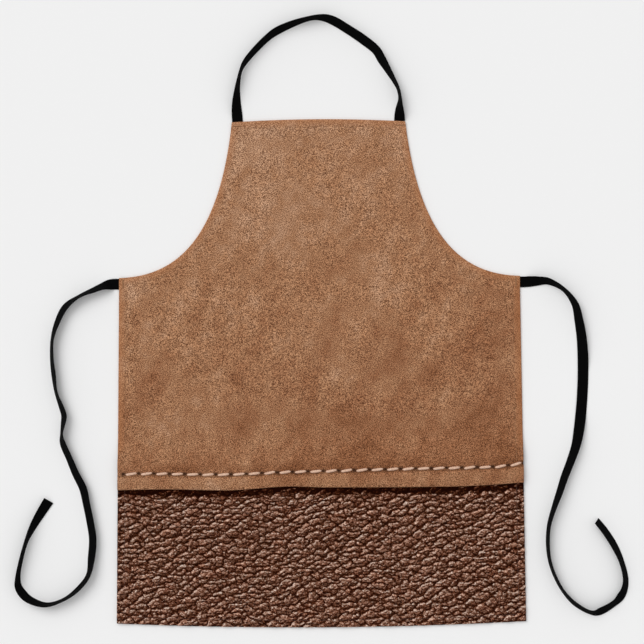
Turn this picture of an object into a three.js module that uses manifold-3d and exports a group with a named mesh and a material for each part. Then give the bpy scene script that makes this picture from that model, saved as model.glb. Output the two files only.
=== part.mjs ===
// A welding apron, laid flat on its back with the front face up.
// A suede upper panel is turned under along its bottom edge and sewn over a pebble-grain lower panel.
// A neck loop and two waist ties of black tape are sewn in behind the corners.
//
// Units are millimetres. The origin is on the resting surface, under the middle of the two panels.
// +X is the right-hand side of the laid apron, +Y runs from the hem to the bib, and +Z is up.

import * as THREE from "three";
import { mergeVertices } from "three/addons/utils/BufferGeometryUtils.js";
import Module from "manifold-3d";

const wasm = await Module();
wasm.setup();

// ---------------------------------------------------------------------------
// Driving dimensions
// ---------------------------------------------------------------------------

// The outline of the two panels together.
const APRON_LENGTH = 757; // from the middle of the hem to the middle of the bib's top
const HEM_WIDTH = 610; // between the bottom corners
const SIDE_FLARE = 6.5; // how much wider each side is at the hem than at the waist
const SIDE_LENGTH = 514.5; // height of a side corner over a bottom corner
const BIB_WIDTH = 258.5; // between the bib's top corners
const BIB_CROWN = 4; // how far the bib's top rises in its middle
const HEM_BOW = 7.5; // how far the hem hangs in its middle

// An armhole is one cubic curve with a handle at each end. Angles are in degrees.
const ARMHOLE_BIB_PULL = 0.78; // the bib's handle, as a share of the armhole's height
const ARMHOLE_BIB_LEAN = 6.5; // outwards from straight down
const ARMHOLE_WAIST_PULL = 0.485; // the waist's handle, as a share of the armhole's width
const ARMHOLE_WAIST_RISE = 1.5; // upwards from level
const ARMHOLE_STEPS = 20;
const CROWN_STEPS = 6;
const BOW_STEPS = 8;
const STRAIGHT_STEPS = 1;

// Leather.
const SUEDE_THICKNESS = 1.6;
const PEBBLE_THICKNESS = 1.8;
const HEM_TURN = 12; // width of the edge that is turned to the back

// The lap seam. Its edge tilts a little, so each end has its own height over the bottom corners.
const LAP_HEIGHT_LEFT = 198.7;
const LAP_HEIGHT_RIGHT = 206.9;
const FOLD_DEPTH = 32; // width of the suede that is turned under
const FOLD_STEPS = 8; // round the fold's nose
const LAP_PAST_FOLD = 8; // how much further the lower panel runs on underneath
const HEM_PAST_LAP = 6; // from there to the start of the upper panel's side hems
const DRAPE_LEAD = 2; // the suede stays level for this far past its fold
const DRAPE_LENGTH = 50; // and falls to the surface over this length

// Tape.
const TAPE_WIDTH = 16;
const TAPE_THICKNESS = 1.1;
const TAPE_CHAMFER = 0.25;
const TAIL_LENGTH = 30;
const NECK_TAPE_INSET = 0.5; // from the bib's side to the tape's edge
const WAIST_TAPE_DROP = 1.1; // from the side corner to the tape's edge

// Thread.
const SEAM_STITCH_PITCH = 22.7;
const SEAM_STITCH_LENGTH = 18.6;
const SEAM_THREAD_WIDTH = 2.8;
const SEAM_THREAD_HEIGHT = 1.3;
const SEAM_LINE_MARGIN = 7; // from the stitch line to the raw end of the fold
const SEAM_END_MARGIN = 5; // from the panel's sides
const SEAM_STITCH_SLANT = 2; // degrees
const SEAM_STRAND_WIDTH = 0.9;
const SEAM_STRAND_HEIGHT = 0.5;
const SEAM_STITCH_SIDES = 8;
const SEAM_STITCH_CAP_STEPS = 2;
const HEM_THREAD_WIDTH = 0.9;
const HEM_THREAD_HEIGHT = 0.6;
const HEM_THREAD_MARGIN = 0.6; // from the thread to the raw end of the hem
const HEM_THREAD_CORNER = 14; // a hem thread stops this far from a corner
const BAR_TACK_MARGIN = 1.5; // from each end of a tack to the tape's side
const BAR_TACK_WIDTH = 2;
const BAR_TACK_HEIGHT = 0.6;
const BAR_TACK_STEPS = 4;

// Gaps between pieces that touch.
const SEAT_GAP = 0.3;
const SURFACE_GAP = 0.2; // under the tape

// ---------------------------------------------------------------------------
// Places worked out from the dimensions
// ---------------------------------------------------------------------------

const FAR = 2 * APRON_LENGTH; // longer than anything that it cuts
const WAIST_WIDTH = HEM_WIDTH - 2 * SIDE_FLARE; // between the side corners
const HEM_LOW_Y = -APRON_LENGTH / 2;
const BOTTOM_CORNER_Y = HEM_LOW_Y + HEM_BOW;
const SIDE_CORNER_Y = BOTTOM_CORNER_Y + SIDE_LENGTH;
const BIB_CORNER_Y = APRON_LENGTH / 2 - BIB_CROWN;

const TAPE_LOW = SURFACE_GAP;
const TAPE_TOP = TAPE_LOW + TAPE_THICKNESS;

// The suede's face lies on its turned hem, or on the tape where that is thicker.
const SUEDE_LOW = Math.max(SUEDE_THICKNESS, TAPE_TOP + SEAT_GAP);
const SUEDE_TOP = SUEDE_LOW + SUEDE_THICKNESS;
const PEBBLE_LOW = PEBBLE_THICKNESS;
const PEBBLE_TOP = PEBBLE_LOW + PEBBLE_THICKNESS;
const FOLD_LOW = PEBBLE_TOP + SEAT_GAP;
const FOLD_MIDDLE = FOLD_LOW + SUEDE_THICKNESS;
const FOLD_TOP = FOLD_MIDDLE + SUEDE_THICKNESS;

// Distances from the fold's edge, up the apron.
const LAP_UNDER = FOLD_DEPTH + LAP_PAST_FOLD;
const HEM_START_OVER_LAP = LAP_UNDER + HEM_PAST_LAP;
const DRAPE_START = FOLD_DEPTH + DRAPE_LEAD;
const DRAPE_END = DRAPE_START + DRAPE_LENGTH;
const SEAM_LINE = FOLD_DEPTH - SEAM_LINE_MARGIN;

const LAP_MIDDLE_Y = BOTTOM_CORNER_Y + (LAP_HEIGHT_LEFT + LAP_HEIGHT_RIGHT) / 2;
const LAP_TILT = Math.atan2(LAP_HEIGHT_RIGHT - LAP_HEIGHT_LEFT, HEM_WIDTH);

const NECK_ROOT_X = BIB_WIDTH / 2 - NECK_TAPE_INSET - TAPE_WIDTH / 2;
const WAIST_ROOT_Y = SIDE_CORNER_Y - WAIST_TAPE_DROP - TAPE_WIDTH / 2;
const BAR_TACK_LENGTH = TAPE_WIDTH - 2 * BAR_TACK_MARGIN;
const BAR_TACK_INSET = HEM_TURN / 2;
const HEM_THREAD_INSET = HEM_TURN - HEM_THREAD_MARGIN - HEM_THREAD_WIDTH;

// ---------------------------------------------------------------------------
// The outline, clockwise as seen from the front, in six edges
// ---------------------------------------------------------------------------

const radians = THREE.MathUtils.degToRad;
const flip = (point) => new THREE.Vector2(-point.x, point.y);

const bibCorner = new THREE.Vector2(BIB_WIDTH / 2, BIB_CORNER_Y);
const sideCorner = new THREE.Vector2(WAIST_WIDTH / 2, SIDE_CORNER_Y);
const bottomCorner = new THREE.Vector2(HEM_WIDTH / 2, BOTTOM_CORNER_Y);
const armholeHeight = bibCorner.y - sideCorner.y;
const armholeWidth = sideCorner.x - bibCorner.x;
const bibHandle = new THREE.Vector2(0, -ARMHOLE_BIB_PULL * armholeHeight)
  .rotateAround(new THREE.Vector2(), radians(ARMHOLE_BIB_LEAN))
  .add(bibCorner);
const waistHandle = new THREE.Vector2(-ARMHOLE_WAIST_PULL * armholeWidth, 0)
  .rotateAround(new THREE.Vector2(), radians(-ARMHOLE_WAIST_RISE))
  .add(sideCorner);

// A quadratic curve reaches half as far as its middle point, so that point is set twice as far out.
const bibTopEdge = new THREE.QuadraticBezierCurve(
  flip(bibCorner),
  new THREE.Vector2(0, BIB_CORNER_Y + 2 * BIB_CROWN),
  bibCorner,
);
const armholeRightEdge = new THREE.CubicBezierCurve(bibCorner, bibHandle, waistHandle, sideCorner);
const sideRightEdge = new THREE.LineCurve(sideCorner, bottomCorner);
const hemEdge = new THREE.QuadraticBezierCurve(
  bottomCorner,
  new THREE.Vector2(0, BOTTOM_CORNER_Y - 2 * HEM_BOW),
  flip(bottomCorner),
);
const sideLeftEdge = new THREE.LineCurve(flip(bottomCorner), flip(sideCorner));
const armholeLeftEdge = new THREE.CubicBezierCurve(
  flip(sideCorner),
  flip(waistHandle),
  flip(bibHandle),
  flip(bibCorner),
);

// The outline's points. Each edge leaves its last point to the next edge.
function outline() {
  return [
    [bibTopEdge, CROWN_STEPS],
    [armholeRightEdge, ARMHOLE_STEPS],
    [sideRightEdge, STRAIGHT_STEPS],
    [hemEdge, BOW_STEPS],
    [sideLeftEdge, STRAIGHT_STEPS],
    [armholeLeftEdge, ARMHOLE_STEPS],
  ].flatMap(([edge, steps]) => edge.getPoints(steps).slice(0, -1));
}

// Points inwards when the edges run clockwise.
function inward(direction) {
  return new THREE.Vector2(direction.y, -direction.x).normalize();
}

// A clockwise loop of points moved inwards by a distance, with mitred corners.
function inset(loop, distance) {
  return loop.map((point, i) => {
    const before = loop.at(i - 1);
    const after = loop[(i + 1) % loop.length];
    const bisector = inward(point.clone().sub(before)).add(inward(after.clone().sub(point)));
    return point.clone().addScaledVector(bisector, (2 * distance) / bisector.lengthSq());
  });
}

// ---------------------------------------------------------------------------
// Solids
// ---------------------------------------------------------------------------

function toSolid(geometry) {
  geometry.deleteAttribute("normal");
  geometry.deleteAttribute("uv");
  const merged = mergeVertices(geometry);
  return new wasm.Manifold(
    new wasm.Mesh({
      numProp: 3,
      vertProperties: merged.attributes.position.array,
      triVerts: new Uint32Array(merged.index.array),
    }),
  );
}

function toGeometry(solid) {
  const mesh = solid.getMesh();
  const geometry = new THREE.BufferGeometry();
  geometry.setAttribute("position", new THREE.BufferAttribute(mesh.vertProperties, 3));
  geometry.setIndex(new THREE.BufferAttribute(mesh.triVerts, 1));
  geometry.computeVertexNormals();
  return geometry;
}

// A flat shape from one height to another.
function prism(points, low = -FAR, high = FAR) {
  const geometry = new THREE.ExtrudeGeometry(new THREE.Shape(points), {
    depth: high - low,
    bevelEnabled: false,
  });
  geometry.translate(0, 0, low);
  return toSolid(geometry);
}

// A box with its middle at (x, y) and its height from low to high.
function block(x, y, width, length, low, high) {
  const geometry = new THREE.BoxGeometry(width, length, high - low);
  geometry.translate(x, y, (low + high) / 2);
  return toSolid(geometry);
}

// Takes a shape drawn across the lap seam, as distance over the fold's edge and height, and runs it
// along the seam from one side of the apron to the other.
function runAlongLap(shape) {
  const geometry = new THREE.ExtrudeGeometry(shape, {
    depth: 2 * HEM_WIDTH,
    bevelEnabled: false,
    curveSegments: FOLD_STEPS,
  });
  geometry.translate(0, 0, -HEM_WIDTH);
  const across = new THREE.Matrix4().makeBasis(
    new THREE.Vector3(0, 1, 0),
    new THREE.Vector3(0, 0, 1),
    new THREE.Vector3(1, 0, 0),
  );
  geometry.applyMatrix4(across);
  geometry.rotateZ(LAP_TILT);
  geometry.translate(0, LAP_MIDDLE_Y, 0);
  return toSolid(geometry);
}

// ---------------------------------------------------------------------------
// Panels
// ---------------------------------------------------------------------------

const fullOutline = prism(outline());
const hemRing = fullOutline.subtract(prism(inset(outline(), HEM_TURN)));

// The height of the lower side of the suede's face, at a distance over the fold's edge.
function suedeLowAt(distance) {
  const fall = THREE.MathUtils.clamp((distance - DRAPE_START) / DRAPE_LENGTH, 0, 1);
  return THREE.MathUtils.lerp(FOLD_MIDDLE, SUEDE_LOW, fall);
}

// A layer that follows the suede's face from a start over the fold's edge to the far end. Its two
// sides are given as heights over the lower side of the suede.
function suedeLayer(start, low, high) {
  const bends = [start, DRAPE_START, DRAPE_END, FAR].filter((distance) => distance >= start);
  const side = (height) => bends.map((s) => new THREE.Vector2(s, suedeLowAt(s) + height));
  return new THREE.Shape([...side(low), ...side(high).reverse()]);
}

// The turned-under edge: two thicknesses of suede with a round nose.
function foldSection() {
  const shape = new THREE.Shape();
  shape.moveTo(FOLD_DEPTH, FOLD_LOW);
  shape.lineTo(FOLD_DEPTH, FOLD_TOP);
  shape.lineTo(SUEDE_THICKNESS, FOLD_TOP);
  shape.absarc(SUEDE_THICKNESS, FOLD_MIDDLE, SUEDE_THICKNESS, Math.PI / 2, (3 * Math.PI) / 2, false);
  return shape;
}

// Everything below a distance over the fold's edge, between two heights.
function belowLap(distance, low, high) {
  const shape = new THREE.Shape();
  shape.moveTo(-FAR, low);
  shape.lineTo(distance, low);
  shape.lineTo(distance, high);
  shape.lineTo(-FAR, high);
  return runAlongLap(shape);
}

// The room that each sewn-in tape end takes in a hem.
function tailNotches() {
  const width = TAPE_WIDTH + 2 * SEAT_GAP;
  const depth = TAIL_LENGTH + SEAT_GAP;
  return [-1, 1].map((side) => {
    const neck = block(side * NECK_ROOT_X, BIB_CORNER_Y, width, 2 * depth, -FAR, FAR);
    const waist = block((side * WAIST_WIDTH) / 2, WAIST_ROOT_Y, 2 * depth, width, -FAR, FAR);
    return neck.add(waist);
  });
}

function upperPanel() {
  const layer = runAlongLap(suedeLayer(FOLD_DEPTH / 2, 0, SUEDE_THICKNESS));
  const face = runAlongLap(foldSection()).add(layer).intersect(fullOutline);
  const turned = runAlongLap(suedeLayer(HEM_START_OVER_LAP, -SUEDE_THICKNESS, SUEDE_THICKNESS / 2));
  const notched = tailNotches().reduce((ring, notch) => ring.subtract(notch), hemRing);
  return face.add(turned.intersect(notched));
}

function lowerPanel() {
  const face = belowLap(LAP_UNDER, PEBBLE_LOW, PEBBLE_TOP).intersect(fullOutline);
  const turned = belowLap(LAP_UNDER, 0, PEBBLE_LOW + PEBBLE_THICKNESS / 2).intersect(hemRing);
  return face.add(turned);
}

// ---------------------------------------------------------------------------
// Threads
// ---------------------------------------------------------------------------

// The strip that a hem thread covers along one edge. Its ends stop short of the corners.
function threadStrip(edge, steps) {
  const margin = HEM_THREAD_CORNER / edge.getLength();
  const at = (i, distance) => {
    const u = margin + ((1 - 2 * margin) * i) / steps;
    return edge.getPointAt(u).addScaledVector(inward(edge.getTangentAt(u)), distance);
  };
  const places = Array.from({ length: steps + 1 }, (_, i) => i);
  const outer = places.map((i) => at(i, HEM_THREAD_INSET));
  const inner = places.map((i) => at(i, HEM_THREAD_INSET + HEM_THREAD_WIDTH));
  return prism([...outer, ...inner.reverse()]);
}

// On the suede, the side threads stop just above the lap seam's stitch line.
const threadOnSuede = runAlongLap(
  suedeLayer(
    SEAM_LINE + SEAM_THREAD_WIDTH,
    SUEDE_THICKNESS + SEAT_GAP,
    SUEDE_THICKNESS + SEAT_GAP + HEM_THREAD_HEIGHT,
  ),
);
const threadOnPebble = belowLap(
  -SEAT_GAP,
  PEBBLE_TOP + SEAT_GAP,
  PEBBLE_TOP + SEAT_GAP + HEM_THREAD_HEIGHT,
);

// One stitch, with round ends, lying along X on the fold.
function seamStitch(x) {
  const geometry = new THREE.CapsuleGeometry(
    SEAM_THREAD_WIDTH / 2,
    SEAM_STITCH_LENGTH - SEAM_THREAD_WIDTH,
    SEAM_STITCH_CAP_STEPS,
    SEAM_STITCH_SIDES,
  );
  geometry.rotateZ(Math.PI / 2);
  geometry.scale(1, 1, SEAM_THREAD_HEIGHT / SEAM_THREAD_WIDTH);
  geometry.rotateZ(radians(SEAM_STITCH_SLANT));
  geometry.translate(x, 0, SEAM_THREAD_HEIGHT / 2);
  return toSolid(geometry);
}

// The stitches share one strand, laid on the fold parallel to its edge.
function lapSeamThread() {
  const room = Math.min(HEM_WIDTH, WAIST_WIDTH) - 2 * SEAM_END_MARGIN - SEAM_STITCH_LENGTH;
  const gaps = Math.floor(room / SEAM_STITCH_PITCH);
  const start = (-gaps * SEAM_STITCH_PITCH) / 2;
  const strand = block(0, 0, gaps * SEAM_STITCH_PITCH, SEAM_STRAND_WIDTH, 0, SEAM_STRAND_HEIGHT);
  const stitches = Array.from({ length: gaps + 1 }, (_, i) => seamStitch(start + i * SEAM_STITCH_PITCH));
  return stitches
    .reduce((thread, stitch) => thread.add(stitch), strand)
    .translate([0, SEAM_LINE, FOLD_TOP + SEAT_GAP])
    .rotate([0, 0, THREE.MathUtils.radToDeg(LAP_TILT)])
    .translate([0, LAP_MIDDLE_Y, 0]);
}

// A short dense stitch with round ends, lying along X on the suede's front.
function barTack() {
  const shape = new THREE.Shape();
  const reach = (BAR_TACK_LENGTH - BAR_TACK_WIDTH) / 2;
  shape.absarc(reach, 0, BAR_TACK_WIDTH / 2, -Math.PI / 2, Math.PI / 2, false);
  shape.absarc(-reach, 0, BAR_TACK_WIDTH / 2, Math.PI / 2, (3 * Math.PI) / 2, false);
  return prism(shape.getPoints(BAR_TACK_STEPS), 0, BAR_TACK_HEIGHT);
}

// ---------------------------------------------------------------------------
// Tapes
// ---------------------------------------------------------------------------

// The tape lies flat or stands partly on edge. Its tilt from flat lifts its middle, so that its
// lower edge stays on the surface.
function tapeMiddle(tilt) {
  const lift = TAPE_WIDTH * Math.abs(Math.sin(tilt)) + TAPE_THICKNESS * Math.abs(Math.cos(tilt));
  return TAPE_LOW + lift / 2;
}

// A route over the surface. Each of its points is (x, y, tilt in degrees).
class TapeRoute extends THREE.CatmullRomCurve3 {
  constructor(points) {
    super(points.map(([x, y, tilt]) => new THREE.Vector3(x, y, radians(tilt))));
  }

  getPoint(t, target = new THREE.Vector3()) {
    super.getPoint(t, target);
    return target.setZ(tapeMiddle(target.z));
  }

  tiltAt(u) {
    return super.getPoint(this.getUtoTmapping(u)).z;
  }

  // The section's own axes along the route: across the tape and through it.
  computeFrenetFrames(segments) {
    const frames = { tangents: [], normals: [], binormals: [] };
    for (let i = 0; i <= segments; i++) {
      const u = i / segments;
      const tangent = this.getTangentAt(u);
      const level = new THREE.Vector3(0, 0, 1).cross(tangent).normalize();
      const normal = level.applyAxisAngle(tangent, this.tiltAt(u));
      frames.tangents.push(tangent);
      frames.normals.push(normal);
      frames.binormals.push(tangent.clone().cross(normal));
    }
    return frames;
  }
}

function tapeSection() {
  const x = TAPE_WIDTH / 2;
  const y = TAPE_THICKNESS / 2;
  const c = TAPE_CHAMFER;
  return new THREE.Shape(
    [
      [x - c, y],
      [c - x, y],
      [-x, y - c],
      [-x, c - y],
      [c - x, -y],
      [x - c, -y],
      [x, c - y],
      [x, y - c],
    ].map(([a, b]) => new THREE.Vector2(a, b)),
  );
}

function tape(points, steps) {
  return toSolid(
    new THREE.ExtrudeGeometry(tapeSection(), { extrudePath: new TapeRoute(points), steps }),
  );
}

// Routes, chosen by hand. Each point is (x, y, tilt), measured from where the tape leaves its panel.
const NECK_ROUTE = [
  [0, 0.8, 0],
  [-0.5, 10, 8],
  [-1.2, 24, 32],
  [-0.7, 37, 50],
  [0.5, 50, 65],
  [2.8, 64, 76],
  [6, 77, 80],
  [12, 88.5, 70],
  [28.5, 108, 63],
  [48, 126.5, 60],
  [59.5, 134.5, 55],
  [83, 145, 63],
  [107, 152.5, 75],
  [120.5, 154.5, 71],
  [133.5, 153.5, 56],
  [146, 149, 45],
  [167.5, 136, 44],
  [188.5, 122, 39],
  [208.5, 105.5, 43],
  [216, 93, 42],
  [223, 81, 55],
  [235.5, 59, 74],
  [241, 47.5, 79],
  [243.5, 34, 76],
  [243, 21, 52],
  [243, 9, 20],
  [243, 0.8, 0],
];
const NECK_STEPS = 60;

const WAIST_ROUTE_LEFT = [
  [-0.4, 0, 0],
  [-9, 0, 0],
  [-22, -2.5, 42],
  [-36, -8, 56],
  [-59, -18, 69],
  [-80, -34, 49],
  [-92, -57, 53],
  [-99, -81, 65],
  [-100, -108, 63],
  [-97.5, -134, 58],
  [-94, -160, 66],
  [-86, -183, 54],
  [-82.5, -195, 51],
  [-84, -208, 59],
  [-86, -222, 69],
  [-84.5, -236, 49],
  [-75, -259, 45],
  [-65.5, -282, 40],
  [-55, -304, 36],
  [-49.5, -329, 40],
  [-44.5, -354, 39],
  [-41, -379, 39],
  [-43, -406, 42],
  [-48, -433, 62],
  [-64, -453.5, 67],
  [-86, -469, 79],
  [-111, -476, 75],
  [-135, -468.5, 61],
  [-145, -460, 55],
  [-152, -448, 63],
  [-152, -432.5, 74],
  [-146.5, -405.5, 79],
  [-139.5, -382, 77],
  [-129, -359, 55],
  [-117.5, -339, 36],
  [-106.5, -321.5, 20],
];

const WAIST_ROUTE_RIGHT = [
  [0.4, 0, 0],
  [9, 0, 0],
  [25, 1, 30],
  [41, 0.5, 54],
  [64.5, -12, 74],
  [81, -33.5, 60],
  [87, -58, 44],
  [91, -83, 32],
  [93, -109, 18],
  [93.5, -135, 0],
  [92.5, -162.5, 0],
  [90.5, -190, 0],
  [87, -217.5, 20],
  [81.5, -244, 42],
  [73, -268, 52],
  [64, -291, 56],
  [56, -314.5, 63],
  [47.5, -338, 73],
  [40.5, -362, 79],
  [38.5, -388, 79],
  [41, -414, 80],
  [49, -438, 78],
  [61, -460, 76],
  [79, -479.5, 66],
  [102, -492, 61],
  [114.5, -491.5, 38],
  [137.5, -478.5, 43],
  [147, -469, 31],
  [152.5, -457, 42],
  [154, -443, 50],
  [148, -416.5, 55],
  [138, -394, 48],
  [124.5, -372.5, 48],
  [111.5, -356, 52],
];
const WAIST_STEPS = 78;

// The listed neck route is drawn for one distance between the tape's ends, and is spread to fit.
function spreadNeckRoute() {
  const drawn = NECK_ROUTE.at(-1)[0] - NECK_ROUTE[0][0];
  const spread = (2 * NECK_ROOT_X) / drawn;
  return NECK_ROUTE.map(([x, y, tilt]) => [x * spread - NECK_ROOT_X, y + BIB_CORNER_Y, tilt]);
}

function waistRoute(points, side) {
  return points.map(([x, y, tilt]) => [x + (side * WAIST_WIDTH) / 2, y + WAIST_ROOT_Y, tilt]);
}

function neckTail(side) {
  const middleY = BIB_CORNER_Y - TAIL_LENGTH / 2;
  return block(side * NECK_ROOT_X, middleY, TAPE_WIDTH, TAIL_LENGTH, TAPE_LOW, TAPE_TOP);
}

function waistTail(side) {
  const middleX = side * (WAIST_WIDTH / 2 - TAIL_LENGTH / 2);
  return block(middleX, WAIST_ROOT_Y, TAIL_LENGTH, TAPE_WIDTH, TAPE_LOW, TAPE_TOP);
}

// ---------------------------------------------------------------------------
// The assembly
// ---------------------------------------------------------------------------

const finishes = {
  suede: { color: "#a97650", roughness: 0.95 },
  pebble: { color: "#5a3223", roughness: 0.5 },
  tape: { color: "#0e0e10", roughness: 0.85 },
  paleThread: { color: "#dcb493", roughness: 0.7 },
  tanThread: { color: "#94623e", roughness: 0.75 },
  brownThread: { color: "#43251a", roughness: 0.75 },
};

const apron = new THREE.Group();

function add(name, solid, finish) {
  const material = new THREE.MeshStandardMaterial({ ...finishes[finish], metalness: 0 });
  const mesh = new THREE.Mesh(toGeometry(solid), material);
  mesh.name = name;
  apron.add(mesh);
  return mesh;
}

add("upper_panel", upperPanel(), "suede");
add("lower_panel", lowerPanel(), "pebble");
add("lap_seam_thread", lapSeamThread(), "paleThread");

const hemThreads = [
  ["bib_top_hem_thread", bibTopEdge, CROWN_STEPS, threadOnSuede, "tanThread"],
  ["armhole_hem_thread_left", armholeLeftEdge, ARMHOLE_STEPS, threadOnSuede, "tanThread"],
  ["armhole_hem_thread_right", armholeRightEdge, ARMHOLE_STEPS, threadOnSuede, "tanThread"],
  ["upper_side_hem_thread_left", sideLeftEdge, STRAIGHT_STEPS, threadOnSuede, "tanThread"],
  ["upper_side_hem_thread_right", sideRightEdge, STRAIGHT_STEPS, threadOnSuede, "tanThread"],
  ["lower_side_hem_thread_left", sideLeftEdge, STRAIGHT_STEPS, threadOnPebble, "brownThread"],
  ["lower_side_hem_thread_right", sideRightEdge, STRAIGHT_STEPS, threadOnPebble, "brownThread"],
  ["bottom_hem_thread", hemEdge, BOW_STEPS, threadOnPebble, "brownThread"],
];
for (const [name, edge, steps, layer, finish] of hemThreads) {
  add(name, threadStrip(edge, steps).intersect(layer), finish);
}

add("neck_loop", tape(spreadNeckRoute(), NECK_STEPS), "tape");
add("waist_tie_left", tape(waistRoute(WAIST_ROUTE_LEFT, -1), WAIST_STEPS), "tape");
add("waist_tie_right", tape(waistRoute(WAIST_ROUTE_RIGHT, 1), WAIST_STEPS), "tape");

for (const [word, side] of [["left", -1], ["right", 1]]) {
  add("neck_strap_tail_" + word, neckTail(side), "tape");
  add("waist_tie_tail_" + word, waistTail(side), "tape");
  const neckTack = add("neck_bar_tack_" + word, barTack(), "tanThread");
  neckTack.position.set(
    side * NECK_ROOT_X,
    BIB_CORNER_Y - BAR_TACK_INSET,
    SUEDE_TOP + SEAT_GAP,
  );
  const waistTack = add("waist_bar_tack_" + word, barTack(), "tanThread");
  waistTack.rotation.z = Math.PI / 2;
  waistTack.position.set(
    side * (WAIST_WIDTH / 2 - BAR_TACK_INSET),
    WAIST_ROOT_Y,
    SUEDE_TOP + SEAT_GAP,
  );
}

export default apron;
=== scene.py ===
# %% [markdown]
# # A welding apron, laid flat on its back
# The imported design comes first, as a fixed frame. It says where each panel, tape and thread lies,
# and which body moves it. Everything below is built around it, in metres, in the same frame:
# +X is the right-hand side of the laid apron, +Y runs from the hem to the bib, and +Z is up.

# %% Frame
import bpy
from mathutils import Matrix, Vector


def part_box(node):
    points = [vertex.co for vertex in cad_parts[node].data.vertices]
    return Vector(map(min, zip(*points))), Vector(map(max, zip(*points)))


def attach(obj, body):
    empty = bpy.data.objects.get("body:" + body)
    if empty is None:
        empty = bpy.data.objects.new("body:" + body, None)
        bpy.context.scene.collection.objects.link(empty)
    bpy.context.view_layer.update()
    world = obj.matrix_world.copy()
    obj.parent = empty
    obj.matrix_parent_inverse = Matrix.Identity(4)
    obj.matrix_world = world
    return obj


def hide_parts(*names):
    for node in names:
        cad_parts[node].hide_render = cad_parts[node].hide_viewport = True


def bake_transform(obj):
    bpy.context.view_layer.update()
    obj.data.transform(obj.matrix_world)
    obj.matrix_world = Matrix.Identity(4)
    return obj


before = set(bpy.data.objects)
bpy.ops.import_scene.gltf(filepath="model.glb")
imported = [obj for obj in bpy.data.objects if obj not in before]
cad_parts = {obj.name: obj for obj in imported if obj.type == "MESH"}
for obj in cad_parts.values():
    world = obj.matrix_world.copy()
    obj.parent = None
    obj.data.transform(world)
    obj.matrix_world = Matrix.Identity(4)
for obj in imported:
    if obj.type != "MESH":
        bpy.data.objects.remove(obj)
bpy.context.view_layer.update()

# %% Tools used by every step
import math

import bmesh
import bpy
import numpy as np
from mathutils import Matrix, Vector, kdtree, noise
from mathutils.geometry import delaunay_2d_cdt

MM = 0.001
scene = bpy.context.scene
print("one millimetre is", MM, "of Blender's units")


def smoothstep(low, high, value):
    """0 below low, 1 above high, and a soft S in between."""
    t = np.clip((np.asarray(value, float) - low) / (high - low), 0, 1)
    return t * t * (3 - 2 * t)


def bump(value, middle, width):
    """A soft bell with height 1 at its middle."""
    return np.exp(-(((np.asarray(value, float) - middle) / width) ** 2))


# %% [markdown]
# ## Camera
# The apron is seen from straight above, as laid out on a table. A long lens keeps the view nearly
# free of perspective, so the sides of the panels don't show. The apron lies a third of a degree off
# square to the table, so the camera is turned by that much.

# %% Camera
LENS = 85
SENSOR = 36
VIEW_WIDTH = 960.2 * MM  # how much of the floor it takes in
VIEW_CENTRE = (3.4 * MM, 76.3 * MM)
VIEW_TURN = math.radians(-0.34)

camera_data = bpy.data.cameras.new("camera")
camera_data.lens = LENS
camera_data.sensor_width = SENSOR
camera = bpy.data.objects.new("camera", camera_data)
camera.location = (*VIEW_CENTRE, VIEW_WIDTH * LENS / SENSOR)
camera.rotation_euler = (0, 0, VIEW_TURN)
scene.collection.objects.link(camera)
scene.camera = camera
print("camera", round(camera.location.z, 3), "m above the floor")

# %% [markdown]
# ## The three tapes
# The neck loop and the two waist ties are flat woven tape, 16 mm wide and about 1 mm thick. A tape
# bends easily through its thickness and hardly at all across its width, so on a table it stands
# partly on edge wherever it curves. Each route is a list of points: x and y in metres from the
# place where the tape leaves its panel, and the tilt from flat in degrees. A smooth curve runs
# through them, and the tape's own section is swept along it in mesh code, because its tilt changes
# all the way. A curve object would need a tilt for each of its points as well, and it would not
# carry the tape's lower edge on the table.

# %% Routes
NECK_ROUTE = [
    (0, 0.0008, 0), (-0.0005, 0.01, 8), (-0.0012, 0.024, 32), (-0.0007, 0.037, 50),
    (0.0005, 0.05, 65), (0.0028, 0.064, 76), (0.006, 0.077, 80), (0.012, 0.0885, 70),
    (0.0285, 0.108, 63), (0.048, 0.1265, 60), (0.0595, 0.1345, 55), (0.083, 0.145, 63),
    (0.107, 0.1525, 75), (0.1205, 0.1545, 71), (0.1335, 0.1535, 56), (0.146, 0.149, 45),
    (0.1675, 0.136, 44), (0.1885, 0.122, 39), (0.2085, 0.1055, 43), (0.216, 0.093, 42),
    (0.223, 0.081, 55), (0.2355, 0.059, 74), (0.241, 0.0475, 79), (0.2435, 0.034, 76),
    (0.243, 0.021, 52), (0.243, 0.009, 20), (0.243, 0.0008, 0),
]
WAIST_ROUTE_LEFT = [
    (-0.0004, 0, 0), (-0.009, 0, 0), (-0.022, -0.0025, 42), (-0.036, -0.008, 56),
    (-0.059, -0.018, 69), (-0.08, -0.034, 49), (-0.092, -0.057, 53), (-0.099, -0.081, 65),
    (-0.1, -0.108, 63), (-0.0975, -0.134, 58), (-0.094, -0.16, 66), (-0.086, -0.183, 54),
    (-0.0825, -0.195, 51), (-0.084, -0.208, 59), (-0.086, -0.222, 69), (-0.0845, -0.236, 49),
    (-0.075, -0.259, 45), (-0.0655, -0.282, 40), (-0.055, -0.304, 36), (-0.0495, -0.329, 40),
    (-0.0445, -0.354, 39), (-0.041, -0.379, 39), (-0.043, -0.406, 42), (-0.048, -0.433, 62),
    (-0.064, -0.4535, 67), (-0.086, -0.469, 79), (-0.111, -0.476, 75), (-0.135, -0.4685, 61),
    (-0.145, -0.46, 55), (-0.152, -0.448, 63), (-0.152, -0.4325, 74), (-0.1465, -0.4055, 79),
    (-0.1395, -0.382, 77), (-0.129, -0.359, 55), (-0.1175, -0.339, 36), (-0.1065, -0.3215, 20),
]
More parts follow.
